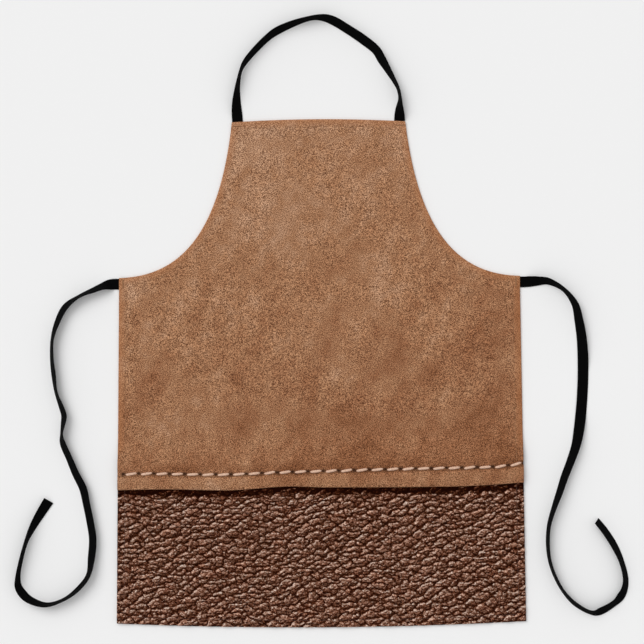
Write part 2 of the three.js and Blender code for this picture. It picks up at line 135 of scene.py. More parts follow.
WAIST_ROUTE_RIGHT = [
    (0.0004, 0, 0), (0.009, 0, 0), (0.025, 0.001, 30), (0.041, 0.0005, 54),
    (0.0645, -0.012, 74), (0.081, -0.0335, 60), (0.087, -0.058, 44), (0.091, -0.083, 32),
    (0.093, -0.109, 18), (0.0935, -0.135, 0), (0.0925, -0.1625, 0), (0.0905, -0.19, 0),
    (0.087, -0.2175, 20), (0.0815, -0.244, 42), (0.073, -0.268, 52), (0.064, -0.291, 56),
    (0.056, -0.3145, 63), (0.0475, -0.338, 73), (0.0405, -0.362, 79), (0.0385, -0.388, 79),
    (0.041, -0.414, 80), (0.049, -0.438, 78), (0.061, -0.46, 76), (0.079, -0.4795, 66),
    (0.102, -0.492, 61), (0.1145, -0.4915, 38), (0.1375, -0.4785, 43), (0.147, -0.469, 31),
    (0.1525, -0.457, 42), (0.154, -0.443, 50), (0.148, -0.4165, 55), (0.138, -0.394, 48),
    (0.1245, -0.3725, 48), (0.1115, -0.356, 52),
]
for name, route in (("neck", NECK_ROUTE), ("left", WAIST_ROUTE_LEFT), ("right", WAIST_ROUTE_RIGHT)):
    print(name, "route has", len(route), "points")

# %% A smooth line through a route
TAPE_WIDTH = 16 * MM
TAPE_THICKNESS = 1.1 * MM
TAPE_LOW = 0.2 * MM  # its lower face or edge clears the floor by this much
TAPE_STEP = 2.6 * MM
SPAN_STEPS = 24
print("the tape is", TAPE_WIDTH / MM, "by", TAPE_THICKNESS / MM, "mm")


def through(points, steps):
    """A centripetal Catmull-Rom curve through points, with so many steps between two of them."""
    points = np.array(points, float)
    ends = 2 * points[0] - points[1], 2 * points[-1] - points[-2]
    padded = np.vstack([ends[0], points, ends[1]])
    knots = np.sqrt(np.linalg.norm(np.diff(padded[:, :2], axis=0), axis=1))
    line = []
    for i, (p0, p1, p2, p3) in enumerate(zip(padded, padded[1:], padded[2:], padded[3:])):
        d0, d1, d2 = knots[i : i + 3]
        leave = ((p1 - p0) / d0 - (p2 - p0) / (d0 + d1) + (p2 - p1) / d1) * d1
        arrive = ((p2 - p1) / d1 - (p3 - p1) / (d1 + d2) + (p3 - p2) / d2) * d1
        for t in np.linspace(0, 1, steps, endpoint=False):
            curve = (2 * p1 - 2 * p2 + leave + arrive) * t**3
            line.append(curve + (3 * p2 - 3 * p1 - 2 * leave - arrive) * t**2 + leave * t + p1)
    return np.array([*line, points[-1]])


def evenly(line, step):
    """The same line with points a step apart along x and y."""
    along = np.concatenate([[0], np.cumsum(np.linalg.norm(np.diff(line[:, :2], axis=0), axis=1))])
    places = np.linspace(0, along[-1], int(round(along[-1] / step)) + 1)
    return np.stack([np.interp(places, along, column) for column in line.T], axis=1)


def tape_line(route, root):
    """The tape's centreline and the direction across its width, at every step of its route."""
    line = evenly(through(route, SPAN_STEPS), TAPE_STEP)
    tilt = np.radians(line[:, 2])
    lift = TAPE_WIDTH * np.abs(np.sin(tilt)) + TAPE_THICKNESS * np.abs(np.cos(tilt))
    centre = np.column_stack([line[:, :2] + np.array(root), TAPE_LOW + lift / 2])
    tangent = np.gradient(centre, axis=0)
    tangent /= np.linalg.norm(tangent, axis=1)[:, None]
    level = np.cross((0, 0, 1), tangent)
    level /= np.linalg.norm(level, axis=1)[:, None]
    turn = tilt[:, None]
    across = level * np.cos(turn) + np.cross(tangent, level) * np.sin(turn)
    return centre, across, np.cross(tangent, across)


# %% [markdown]
# The tape's section is drawn as a quarter, in shares of its half width and half thickness, and
# mirrored. The woven edge, the selvedge, is a little thicker than the web between. Every step of
# the line gets one ring of points, and the rings are joined by quads and closed at both ends.

# %% The swept tape
QUARTER = [(1, 0), (0.985, 0.6), (0.93, 1), (0.86, 0.93), (0.5, 0.84)]
QUARTERS = [*QUARTER, (0, 0.82)]
MIRRORED = [(-x, y) for x, y in reversed(QUARTER)]
SECTION = QUARTERS + MIRRORED + [(-x, -y) for x, y in QUARTERS[1:] + MIRRORED[:-1]]
CREASED = math.radians(50)  # faces that meet at more than this are shaded with a sharp edge


def new_mesh_object(name, vertices, faces):
    mesh = bpy.data.meshes.new(name)
    mesh.from_pydata([tuple(v) for v in vertices], [], [tuple(f) for f in faces])
    mesh.update()
    made = bpy.data.objects.new(name, mesh)
    scene.collection.objects.link(made)
    return made


def sweep_tape(name, route, root):
    """A closed tape along a route, with a UV map named weave that counts in tape widths."""
    centre, across, through_tape = tape_line(route, root)
    count = len(SECTION)
    vertices, places = [], []
    along = np.concatenate([[0], np.cumsum(np.linalg.norm(np.diff(centre, axis=0), axis=1))])
    for middle, side, up, distance in zip(centre, across, through_tape, along):
        for x, y in SECTION:
            vertices.append(middle + side * x * TAPE_WIDTH / 2 + up * y * TAPE_THICKNESS / 2)
            places.append((0.5 + x / 2, distance / TAPE_WIDTH))
    faces = [
        (a + i, a + (i + 1) % count, a + count + (i + 1) % count, a + count + i)
        for a in range(0, len(vertices) - count, count)
        for i in range(count)
    ]
    last = len(vertices) - count
    faces += [tuple(reversed(range(count))), tuple(range(last, last + count))]
    tape = new_mesh_object(name, vertices, faces)
    weave = tape.data.uv_layers.new(name="weave")
    for loop in tape.data.loops:
        weave.data[loop.index].uv = places[loop.vertex_index]
    tape.data.shade_smooth()
    tape.data.set_sharp_from_angle(angle=CREASED)
    print(name, "is", round(along[-1], 3), "m long, with", len(faces), "faces")
    return tape, centre, along[-1]


# %% [markdown]
# The frame's boxes of the sewn-in tails say where each tape leaves its panel. The neck loop's
# points are stretched a little so that its far end meets the right-hand tail as well.

# %% Where the tapes leave the panels
_, upper_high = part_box("upper_panel")
neck_tail_low, neck_tail_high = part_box("neck_strap_tail_right")
waist_tail_low, waist_tail_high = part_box("waist_tie_tail_right")
NECK_ROOT = ((neck_tail_low.x + neck_tail_high.x) / 2, neck_tail_high.y)
WAIST_ROOT = (waist_tail_high.x, (waist_tail_low.y + waist_tail_high.y) / 2)

neck_loop, neck_line, neck_length = sweep_tape(
    "neck_loop_tape",
    [(x * 2 * NECK_ROOT[0] / NECK_ROUTE[-1][0], y, tilt) for x, y, tilt in NECK_ROUTE],
    (-NECK_ROOT[0], NECK_ROOT[1]),
)
left_tie, left_line, left_length = sweep_tape(
    "waist_tie_tape_left", WAIST_ROUTE_LEFT, (-WAIST_ROOT[0], WAIST_ROOT[1])
)
right_tie, right_line, right_length = sweep_tape(
    "waist_tie_tape_right", WAIST_ROUTE_RIGHT, WAIST_ROOT
)

# %% [markdown]
# Each tape is sewn to the panels at its root and free from there on. Here each one is baked in
# place, and the frame's plain tape is hidden.

# %% The tapes in place
for tape, node, body, line, length, far_end, away in (
    (neck_loop, "neck_loop", "neck_strap", neck_line, neck_length, "object", (0, 1)),
    (left_tie, "waist_tie_left", "left_tie", left_line, left_length, "bare", (-1, 0)),
    (right_tie, "waist_tie_right", "right_tie", right_line, right_length, "bare", (1, 0)),
):
    start = Vector(line[0])
    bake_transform(tape)
    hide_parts(node)

# %% [markdown]
# ## The panels' outline
# The apron is cut to one outline: a bib with a slightly crowned top, two armholes, straight sides
# that flare a little, and a hem that hangs in a shallow bow. The same few sizes as in the design
# give the same Bezier curves here, so the leather fills the place of its plain solids.

# %% Outline sizes
lower_low, lower_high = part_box("lower_panel")
HALF_HEM = lower_high.x
HEM_MIDDLE_Y = lower_low.y
BIB_MIDDLE_Y = upper_high.y
SIDE_FLARE = 6.5 * MM
SIDE_LENGTH = 514.5 * MM
HALF_BIB = 129.25 * MM
BIB_CROWN = 4 * MM
HEM_BOW = 7.5 * MM
ARMHOLE_BIB_PULL = 0.78  # as a share of the armhole's height
ARMHOLE_BIB_LEAN = math.radians(6.5)
ARMHOLE_WAIST_PULL = 0.485  # as a share of the armhole's width
ARMHOLE_WAIST_RISE = math.radians(1.5)
LAP_HEIGHTS = (198.7 * MM, 206.9 * MM)  # of the lap's edge over the bottom corners
LAP_UNDER = 40 * MM  # how far the lower panel runs on under the lap

bottom_corner = np.array([HALF_HEM, HEM_MIDDLE_Y + HEM_BOW])
side_corner = bottom_corner + (-SIDE_FLARE, SIDE_LENGTH)
bib_corner = np.array([HALF_BIB, BIB_MIDDLE_Y - BIB_CROWN])
LAP_MIDDLE_Y = bottom_corner[1] + sum(LAP_HEIGHTS) / 2
LAP_TILT = math.atan2(LAP_HEIGHTS[1] - LAP_HEIGHTS[0], 2 * HALF_HEM)
print("lap's edge", round(LAP_MIDDLE_Y / MM, 1), "mm, tilted", round(math.degrees(LAP_TILT), 2))


# %% Curves of the outline
CURVE_POINTS = 400


def bezier(*points):
    """A Bezier curve of any degree as close points."""
    t = np.linspace(0, 1, CURVE_POINTS)[:, None]
    layers = [np.array(point, float) + 0 * t for point in points]
    while len(layers) > 1:
        layers = [a + (b - a) * t for a, b in zip(layers, layers[1:])]
    return layers[0]


def mirrored(line):
    """The same line on the other side of the apron, run the other way."""
    return (np.asarray(line) * (-1, 1))[::-1]


armhole_height = bib_corner[1] - side_corner[1]
armhole_width = side_corner[0] - bib_corner[0]
lean = np.array([math.sin(ARMHOLE_BIB_LEAN), -math.cos(ARMHOLE_BIB_LEAN)])
rise = np.array([-math.cos(ARMHOLE_WAIST_RISE), math.sin(ARMHOLE_WAIST_RISE)])
# Every line runs anticlockwise round the apron, as seen from the front.
armhole_right = bezier(
    side_corner,
    side_corner + rise * ARMHOLE_WAIST_PULL * armhole_width,
    bib_corner + lean * ARMHOLE_BIB_PULL * armhole_height,
    bib_corner,
)
armhole_left = mirrored(armhole_right)
bib_top = bezier(bib_corner, (0, bib_corner[1] + 2 * BIB_CROWN), bib_corner * (-1, 1))
hem = bezier(bottom_corner * (-1, 1), (0, bottom_corner[1] - 2 * HEM_BOW), bottom_corner)
print("armholes", round(armhole_width / MM), "by", round(armhole_height / MM), "mm")


def lap_place(points):
    """How far along the lap seam points lie, and how far over its straight edge."""
    x, y = points[:, 0], points[:, 1] - LAP_MIDDLE_Y
    turn, lift = math.cos(LAP_TILT), math.sin(LAP_TILT)
    return x * turn + y * lift, y * turn - x * lift


def at_lap(along, over):
    """The point at a place along the seam and a distance over its straight edge."""
    turn, lift = math.cos(LAP_TILT), math.sin(LAP_TILT)
    return np.column_stack([along * turn - over * lift, LAP_MIDDLE_Y + along * lift + over * turn])


def side_over(over, side=1):
    """The point so far over the lap's edge on the right side, or with side=-1 on the left."""
    corners = np.array([bottom_corner, side_corner]) * (side, 1)
    _, ends = lap_place(corners)
    return corners[0] + (corners[1] - corners[0]) * (over - ends[0]) / (ends[1] - ends[0])


# %% [markdown]
# ## How the lap seam wanders
# Along the bottom of the suede panel the leather is turned under and sewn down over the pebbled
# panel with big hand stitches. Such a seam is never quite straight: the rolled edge and the row of
# stitches each wander by a few millimetres. Both are drawn as a smooth line through a few places.

# %% Seam lines
# Each pair is a place along the seam and a distance over the lap's straight edge, in millimetres.
EDGE_WAVE = [
    (-305, 0), (-232, 0), (-134, -3.3), (-40, 0.6), (0, -1.5), (45, -2.4), (149, -3.8),
    (224, -3.7), (305, 0),
]
STITCH_LINE = [
    (-305, 23.8), (-275, 24), (-134, 20.5), (-60, 22.1), (15, 22.8), (120, 23.8), (224, 24),
    (268, 24.8), (305, 29.5),
]


def smooth_line(knots, at):
    """A smooth curve through (place, height) pairs in millimetres, read at places in metres."""
    places, heights = np.array(knots, float).T * MM
    slopes = np.gradient(heights, places)
    i = np.clip(np.searchsorted(places, at) - 1, 0, len(places) - 2)
    step = places[i + 1] - places[i]
    t = np.clip((at - places[i]) / step, 0, 1)
    from_a = heights[i] * (2 * t**3 - 3 * t**2 + 1) + slopes[i] * step * (t**3 - 2 * t**2 + t)
    from_b = heights[i + 1] * (3 * t**2 - 2 * t**3) + slopes[i + 1] * step * (t**3 - t**2)
    return from_a + from_b


def edge_wave(along):
    return smooth_line(EDGE_WAVE, along)


def stitch_line(along):
    return smooth_line(STITCH_LINE, along)


print("the stitches run", round(stitch_line(0.0) / MM, 1), "mm over the edge in the middle")

# %% The two loops
EDGE_STEP = 1.6 * MM


def joined(*lines):
    """One closed loop of evenly spaced points from lines that follow each other."""
    parts = []
    for line in lines:
        parts.extend(evenly(np.asarray(line, float), EDGE_STEP)[:-1])
    return np.array(parts)


lap_ends = side_over(0, side=-1), side_over(0)
lap_along = np.linspace(lap_ends[0][0], lap_ends[1][0], CURVE_POINTS) / math.cos(LAP_TILT)
lap_edge = at_lap(lap_along, edge_wave(lap_along))
lap_edge[0], lap_edge[-1] = lap_ends
upper_outline = joined(
    lap_edge,
    [lap_edge[-1], side_corner],
    armhole_right,
    bib_top,
    armhole_left,
    [side_corner * (-1, 1), lap_edge[0]],
)
lower_outline = joined(
    hem,
    [bottom_corner, side_over(LAP_UNDER)],
    [side_over(LAP_UNDER), side_over(LAP_UNDER, side=-1)],
    [side_over(LAP_UNDER, side=-1), bottom_corner * (-1, 1)],
)
print("outlines with", len(upper_outline), "and", len(lower_outline), "points")

# %% [markdown]
# ## Turning an outline into leather
# A panel is one closed skin. Seen from above, its front and its back are nets of triangles inside
# the same outline, each lifted by a function that gives the height at any point. A wall of a few
# loops closes the edge between them, round like a turned hem or blunt like a cut edge. Nets like
# these are made in code with Blender's own Delaunay triangulation, which lets the points lie dense
# where leather is creased and sparse where it is plain. A subdivided plane would waste points on
# the flat bib and still be too coarse at the seam.

# %% Nets and insets
FULL_NET = 1  # asks delaunay_2d_cdt for the triangles inside the outline
SAME_POINT = 1e-6
ROUND_STEPS = 8  # round the nose of an edge
EDGE_SAMPLES = 0.3 * MM  # how close the points lie that stand for an edge when distances are taken
NEAR_ENOUGH = 0.05 * MM
print("an edge is rounded in", ROUND_STEPS, "steps")


def inset(loop, distance):
    """A loop moved inwards by a distance, or by one distance for each point."""
    before, after = np.roll(loop, 1, axis=0), np.roll(loop, -1, axis=0)
    normals = []
    for direction in (loop - before, after - loop):
        normal = np.column_stack([-direction[:, 1], direction[:, 0]])
        normals.append(normal / np.linalg.norm(normal, axis=1)[:, None])
    bisector = normals[0] + normals[1]
    reach = 2 * np.asarray(distance) / (bisector**2).sum(axis=1)
    return loop + bisector * reach[:, None]


class Edge:
    """Tells how far points lie from a loop."""

    def __init__(self, loop):
        closed = np.vstack([loop, loop[:1]])
        self.points = evenly(closed, EDGE_SAMPLES)
        self.tree = kdtree.KDTree(len(self.points))
        for i, (x, y) in enumerate(self.points):
            self.tree.insert((x, y, 0), i)
        self.tree.balance()

    def distance(self, points):
        return np.array([self.tree.find((x, y, 0))[2] for x, y in points])


def ring(loop, edge, distance):
    """A loop at a true distance inside another, without the points that would cross at corners."""
    moved = inset(loop, np.full(len(loop), distance))
    return moved[edge.distance(moved) > distance - NEAR_ENOUGH]


# %% Points and triangles inside a loop
def inside(loop, points):
    """Whether each point lies in the loop, by counting crossings to its right."""
    found = np.zeros(len(points), bool)
    x, y = points.T
    for (ax, ay), (bx, by) in zip(loop, np.roll(loop, -1, axis=0)):
        if ay != by:
            crosses = (ay > y) != (by > y)
            found ^= crosses & (x < (bx - ax) * (y - ay) / (by - ay) + ax)
    return found


def spots(loop, edge, spacing, clear):
    """Evenly spread points inside a loop, in staggered rows, at least so far from its edge."""
    low, high = loop.min(axis=0), loop.max(axis=0)
    rows = np.arange(low[1], high[1], spacing * math.sqrt(3) / 2)
    columns = np.arange(low[0], high[0], spacing)
    grid = np.array([(x + spacing / 2 * (i % 2), y) for i, y in enumerate(rows) for x in columns])
    grid = grid[inside(loop[::4], grid)]
    return grid[edge.distance(grid) > clear]


def net(boundary, lines, points):
    """Triangles inside a boundary that follow the lines and use the points."""
    placed = [Vector(p) for p in boundary]
    edges = [(i, (i + 1) % len(placed)) for i in range(len(placed))]
    for line in lines:
        first = len(placed)
        placed += [Vector(p) for p in line]
        edges += [(i, i + 1) for i in range(first, len(placed) - 1)]
    placed += [Vector(p) for p in points]
    found, _, faces, *_ = delaunay_2d_cdt(placed, edges, [], FULL_NET, SAME_POINT)
    return np.array([tuple(p) for p in found]), [tuple(face) for face in faces]


_, square_faces = net([(0, 0), (1, 0), (1, 1), (0, 1)], [], [(0.5, 0.5)])
print("a square with a point in its middle becomes", len(square_faces), "triangles")

# %% Closing a panel
HALFWAY = 0.1  # the step round an edge that lies this near the level one takes the groove


def leather_shell(name, outline, nose, heights, nets):
    """A closed panel. nose(points) gives how far its edge rounds in and how deep a cut edge is
    grooved. heights are the functions of its front and its back. nets are what the net of each
    follows: (lines, points)."""
    radius, groove = nose(outline)
    boundary = inset(outline, radius)
    top, bottom = (height(boundary) for height in heights)
    middle, half = (top + bottom) / 2, (top - bottom) / 2
    vertices, faces = [], []
    for turn in np.linspace(math.pi / 2, -math.pi / 2, ROUND_STEPS + 1):
        notch = groove if abs(turn) < HALFWAY else 0
        loop = inset(outline, radius * (1 - math.cos(turn)) + notch)
        vertices.extend(np.column_stack([loop, middle + half * math.sin(turn)]))
    count = len(outline)
    for k in range(ROUND_STEPS):
        for i in range(count):
            j = (i + 1) % count
            faces.append((k * count + i, (k + 1) * count + i, (k + 1) * count + j, k * count + j))
    for height, (lines, points), flipped in zip(heights, nets, (False, True)):
        flat, triangles = net(boundary, lines, points)
        first = len(vertices)
        vertices.extend(np.column_stack([flat, height(flat)]))
        for triangle in triangles:
            face = [first + i for i in triangle]
            faces.append(face[::-1] if flipped else face)
    panel = new_mesh_object(name, vertices, faces)
    shape = bmesh.new()
    shape.from_mesh(panel.data)
    bmesh.ops.remove_doubles(shape, verts=shape.verts, dist=2 * SAME_POINT)
    bmesh.ops.recalc_face_normals(shape, faces=shape.faces)
    open_edges = sum(not edge.is_manifold for edge in shape.edges)
    shape.to_mesh(panel.data)
    shape.free()
    panel.data.shade_smooth()
    triangles = sum(len(face.vertices) - 2 for face in panel.data.polygons)
    print(name, "has", triangles, "triangles and", open_edges, "open edges")
    return panel


def clouds(points, size, seed, stretch=(1, 1), turn=0):
    """Smooth noise about 0, between -1 and 1, that changes over a distance of about size."""
    c, s = math.cos(turn), math.sin(turn)
    u = (points[:, 0] * c + points[:, 1] * s) / (size * stretch[0])
    v = (points[:, 1] * c - points[:, 0] * s) / (size * stretch[1])
    return np.array([noise.noise(Vector((a, b, seed))) for a, b in zip(u, v)])


# %% [markdown]
# ## Heights of the suede panel
# The suede is 1.6 mm thick. Its edges are turned to the back for 12 mm and stitched, so they are
# two layers thick and puff a little beside the stitches. At the lap it is turned under for 32 mm
# and pulled down by the big stitches, which leaves a full, rolled edge below them and a soft
# shoulder above. From there it falls back to the table over about 50 mm, and in the middle it lies
# in low, soft waves.

# %% Suede sizes
SUEDE = 1.6 * MM
SUEDE_LOW = 1.6 * MM
FOLD_TOP = upper_high.z
FOLD_MIDDLE = FOLD_TOP - SUEDE
FOLD_LOW = FOLD_MIDDLE - SUEDE
FOLD_DEPTH = 32 * MM
DRAPE = (34 * MM, 84 * MM)
HEM_TURN = 12 * MM
HEM_START = 46 * MM  # the side hems start this far over the lap's edge
THREAD_LINE = 10.95 * MM  # from the edge to the hem's stitches
SEAM_PITCH = 22.9 * MM
SEAM_STITCH = 17.8 * MM
SEAM_COUNT = 26
SEAM_FIRST = -281.6 * MM  # the middle of the first stitch, along the seam
TAIL_GAP = 0.3 * MM

upper_edge = Edge(upper_outline)
lower_edge = Edge(lower_outline)
seam_middles = SEAM_FIRST + SEAM_PITCH * np.arange(SEAM_COUNT)
print("the fold's top is", round(FOLD_TOP / MM, 2), "mm over the table")

# %% Heights and depths in the suede
# A relief is (how high or deep it is, how wide its bell is), and a third number is its place.
ROLL_HEIGHT = 1.5 * MM  # of the fold between its edge and the stitches
SHOULDER = (1.3 * MM, 9 * MM, 15 * MM)  # the last is its distance over the stitches
PUCKER = (0.14 * MM, 14 * MM)
PUCKER_SIZE = 9 * MM
HEM_GROOVE = (0.35 * MM, 0.9 * MM)
HEM_PUFF = (0.28 * MM, 3.2 * MM, 5.5 * MM)  # the last is its distance from the edge
SEAM_GROOVE = (0.9 * MM, 2.6 * MM)
NEEDLE_HOLE = (1.8 * MM, 1.7 * MM)
HOLE_LENGTH = 1.2  # a needle hole is drawn out along the seam, as a share of its width
HEM_NOSE = 1.5 * MM  # the radius of a turned edge as seen from above
CUT_NOSE = 0.35 * MM
FOLD_NOSE = 2.6 * MM
FOLD_GAP = 0.7 * MM  # how deep the gap shows between the fold's two layers
SIDE_BAND = 8 * MM
BROAD_WAVE = 150 * MM
FOLD_WAVE = 62 * MM
FINE_WAVE = 24 * MM
print("a needle hole is", NEEDLE_HOLE[0] / MM, "mm deep")


# %% Where things lie on the suede
def rolled_over(points):
    """Distance over the lap's own, wandering edge. The wander fades out up the apron."""
    along, over = lap_place(points)
    return over - edge_wave(along) * (1 - smoothstep(30 * MM, 70 * MM, over))


def in_tail_notch(points):
    """Where the hem leaves room for a sewn-in tape end."""
    x, y = np.abs(points[:, 0]), points[:, 1]
    tails = ((neck_tail_low, neck_tail_high), (waist_tail_low, waist_tail_high))
    found = np.zeros(len(points), bool)
    for low, high in tails:
        wide = (x > low.x - TAIL_GAP) & (x < high.x + TAIL_GAP + (low.x > HALF_BIB) * HEM_TURN)
        tall = (y > low.y - TAIL_GAP) & (y < high.y + TAIL_GAP + (low.x < HALF_BIB) * HEM_TURN)
        found |= wide & tall
    return found


def from_gap(along):
    """How far a place along the seam lies from the middle of the gap between two stitches."""
    from_middle = np.abs((along - SEAM_FIRST + SEAM_PITCH / 2) % SEAM_PITCH - SEAM_PITCH / 2)
    return SEAM_PITCH / 2 - from_middle


print("the first gap is", round(from_gap(SEAM_FIRST) / MM, 2), "mm from the first stitch's middle")


# %% Front and back of the suede
def suede_face_low(over):
    """The back of the suede's face, from the fold down to the table."""
    return SUEDE_LOW + (FOLD_MIDDLE - SUEDE_LOW) * (1 - smoothstep(*DRAPE, over))


def waves(points, distance):
    """Low waves in the middle of the panel, none at its hems and its seam."""
    _, over = lap_place(points)
    room = smoothstep(14 * MM, 60 * MM, distance) * smoothstep(60 * MM, 150 * MM, over)
    broad = clouds(points, BROAD_WAVE, 3.1, (1.6, 1), math.radians(-35))
    folds = clouds(points, FOLD_WAVE, 8.4, (1.8, 1), math.radians(-50))
    fine = clouds(points, FINE_WAVE, 5.7)
    return room * MM * (1.1 + 1.3 * broad + 0.55 * folds + 0.16 * fine).clip(0)


def seam_pull(points):
    """How the big stitches pull the suede down, and the holes at their ends."""
    along, over = lap_place(points)
    from_line = over - stitch_line(along)
    groove = SEAM_GROOVE[0] * bump(from_line, 0, SEAM_GROOVE[1])
    from_hole = np.hypot(from_gap(along) / HOLE_LENGTH, from_line)
    return groove + NEEDLE_HOLE[0] * bump(from_hole, 0, NEEDLE_HOLE[1])


def suede_top(points):
    over = rolled_over(points)
    along, straight_over = lap_place(points)
    line = stitch_line(along)
    distance = upper_edge.distance(points)
    roll = np.sin(np.pi * np.clip(over / line, 0, 1)) ** 0.7 * ROLL_HEIGHT
    shoulder = SHOULDER[0] * bump(over, line + SHOULDER[2], SHOULDER[1])
    puckers = PUCKER[0] * clouds(points, PUCKER_SIZE, 2.2) * bump(over, line, PUCKER[1])
    hemmed = smoothstep(HEM_START - 4 * MM, HEM_START + 6 * MM, straight_over)
    thread = HEM_GROOVE[0] * bump(distance, THREAD_LINE, HEM_GROOVE[1]) * hemmed
    puff = HEM_PUFF[0] * bump(distance, HEM_PUFF[2], HEM_PUFF[1]) * hemmed
    height = suede_face_low(over) + SUEDE + waves(points, distance)
    return height + roll + shoulder + puckers + puff - thread - seam_pull(points)


def suede_back(points):
    over = rolled_over(points)
    _, straight_over = lap_place(points)
    distance = upper_edge.distance(points)
    height = suede_face_low(over) + waves(points, distance)
    hemmed = (distance < HEM_TURN) & (straight_over > HEM_START) & ~in_tail_notch(points)
    height = np.where(hemmed, height - SUEDE_LOW, height)
    return np.where(straight_over < FOLD_DEPTH, FOLD_LOW, height)


seam_middle = at_lap(np.zeros(1), stitch_line(np.zeros(1)))
print("the groove of the seam is", round(suede_top(seam_middle)[0] / MM, 2), "mm over the table")


# %% The suede's edge
def suede_nose(points):
    """A round nose at the fold and the hems, and a blunt cut edge beside the seam. The cut edge
    shows the gap between the two layers of the fold."""
    along, over = lap_place(points)
    on_side = np.abs(points[:, 0]) > HALF_HEM - SIDE_BAND
    at_fold = smoothstep(3 * MM, 0, over - edge_wave(along))
    blunt = on_side * (1 - smoothstep(HEM_START - 2 * MM, HEM_START, over)) * (1 - at_fold)
    fold = FOLD_NOSE * at_fold * (1 - 0.5 * on_side)
    radius = np.maximum(HEM_NOSE * (1 - blunt) * (1 - at_fold) + CUT_NOSE * blunt, fold)
    groove = FOLD_GAP * blunt * smoothstep(FOLD_DEPTH, FOLD_DEPTH - MM, over)
    return radius, groove


print("the bib's edge is rounded by", suede_nose(bib_corner[None])[0][0] / MM, "mm")

# %% [markdown]
# The net of the suede's front is dense beside the seam and coarser on the plain body. Rings of
# points follow the hem's stitches. The back has steps where a turned layer ends, and two lines of
# points a hair apart make each step sharp.

# %% Points for the suede's front
BODY_SPACING = 3 * MM
SEAM_SPACING = 1.5 * MM
SEAM_BAND = 44 * MM  # over the lap's edge, in which the dense points lie
HEM_BAND = 15 * MM
EDGE_CLEAR = 1.5 * MM
FRONT_RINGS = (4, 6.5, 8.7, 9.9, 10.95, 12, 13.4)  # millimetres from the edge

front_rings = [ring(upper_outline[::2], upper_edge, distance * MM) for distance in FRONT_RINGS]
body = spots(upper_outline, upper_edge, BODY_SPACING, HEM_BAND)
near_seam = spots(upper_outline, upper_edge, SEAM_SPACING, EDGE_CLEAR)
body = body[lap_place(body)[1] > SEAM_BAND]
near_seam = near_seam[lap_place(near_seam)[1] < SEAM_BAND]
front_rings = [r[lap_place(r)[1] > SEAM_BAND] for r in front_rings]
print(len(body), "points on the body and", len(near_seam), "near the seam")

# %% Steps on the suede's back
BACK_SPACING = 7 * MM
SHARP = 0.04 * MM  # half the width of a step on the back
ROW_POINTS = 160
ROW_CLEAR = 2 * MM  # from the sides
FRAME_STEP = 2 * MM
FRAME_CLEAR = 1.7 * MM


def lap_row(over):
    """A row of points along the seam, a distance over its edge and clear of the sides."""
    reach = side_over(over)[0] - ROW_CLEAR
    return at_lap(np.linspace(-reach, reach, ROW_POINTS), np.full(ROW_POINTS, over))


def tail_frames(edge):
    """The sides of each room for a tape end, as lines on the back that are open to the edge."""
    lines = []
    for side in (-1, 1):
        for low, high, opens_up in (
            (neck_tail_low, neck_tail_high, True),
            (waist_tail_low, waist_tail_high, False),
        ):
            for grow in (TAIL_GAP - SHARP, TAIL_GAP + SHARP):
                left, right = low.x - grow, high.x + grow
                bottom, top = low.y - grow, high.y + grow
                corners = [(right, bottom), (left, bottom), (left, top), (right, top)]
                if opens_up:
                    corners = [(left, top), (left, bottom), (right, bottom), (right, top)]
                line = evenly(np.array(corners) * (side, 1), FRAME_STEP)
                lines.append(line[edge.distance(line) > FRAME_CLEAR])
    return lines


back_loops = []
for distance in (HEM_TURN - SHARP, HEM_TURN + SHARP):
    loop = ring(upper_outline[::2], upper_edge, distance)
    back_loops.append(loop[lap_place(loop)[1] > HEM_START])
back_lines = [lap_row(FOLD_DEPTH + shift) for shift in (-SHARP, SHARP)]
back_lines += tail_frames(upper_edge)
back = spots(upper_outline, upper_edge, BACK_SPACING, 3 * MM)
print(len(back_lines), "lines on the back")

# %% The suede panel
upper_panel = leather_shell(
    "upper_panel_suede",
    upper_outline,
    suede_nose,
    (suede_top, suede_back),
    (
        ([], np.vstack([body, near_seam, *front_rings])),
        (back_lines, np.vstack([back, *back_loops])),
    ),
)

# %% [markdown]
# ## Heights of the pebbled panel
# The lower panel is a thicker hide whose grain has been milled into pebbles, in long patches that
# deep creases part from each other. Pebbles and patches each come from a lattice of jittered seeds,
# bent by noise. A pebble belongs to the patch whose seed is nearest to its own, so a deep crease
# always runs between pebbles. How far a point lies from the border between its two nearest seeds
# says how deep in a crease it is. Each pebble is a small dome, and each patch swells as a whole.

# %% Pebble cells
HIDE = 1.8 * MM
GRAIN_LOW = 2 * HIDE  # a turned hem is two layers thick
PEBBLE = np.array([12, 8]) * MM
PATCH = np.array([31, 15]) * MM
ROW = 0.55  # rows of seeds lie this share of a cell apart, so that cells taper to both sides
JITTER = 0.27
MARGIN = 12  # seeds past each side of a lattice
FAR = 9.0  # further than any seed that is looked at, in cells


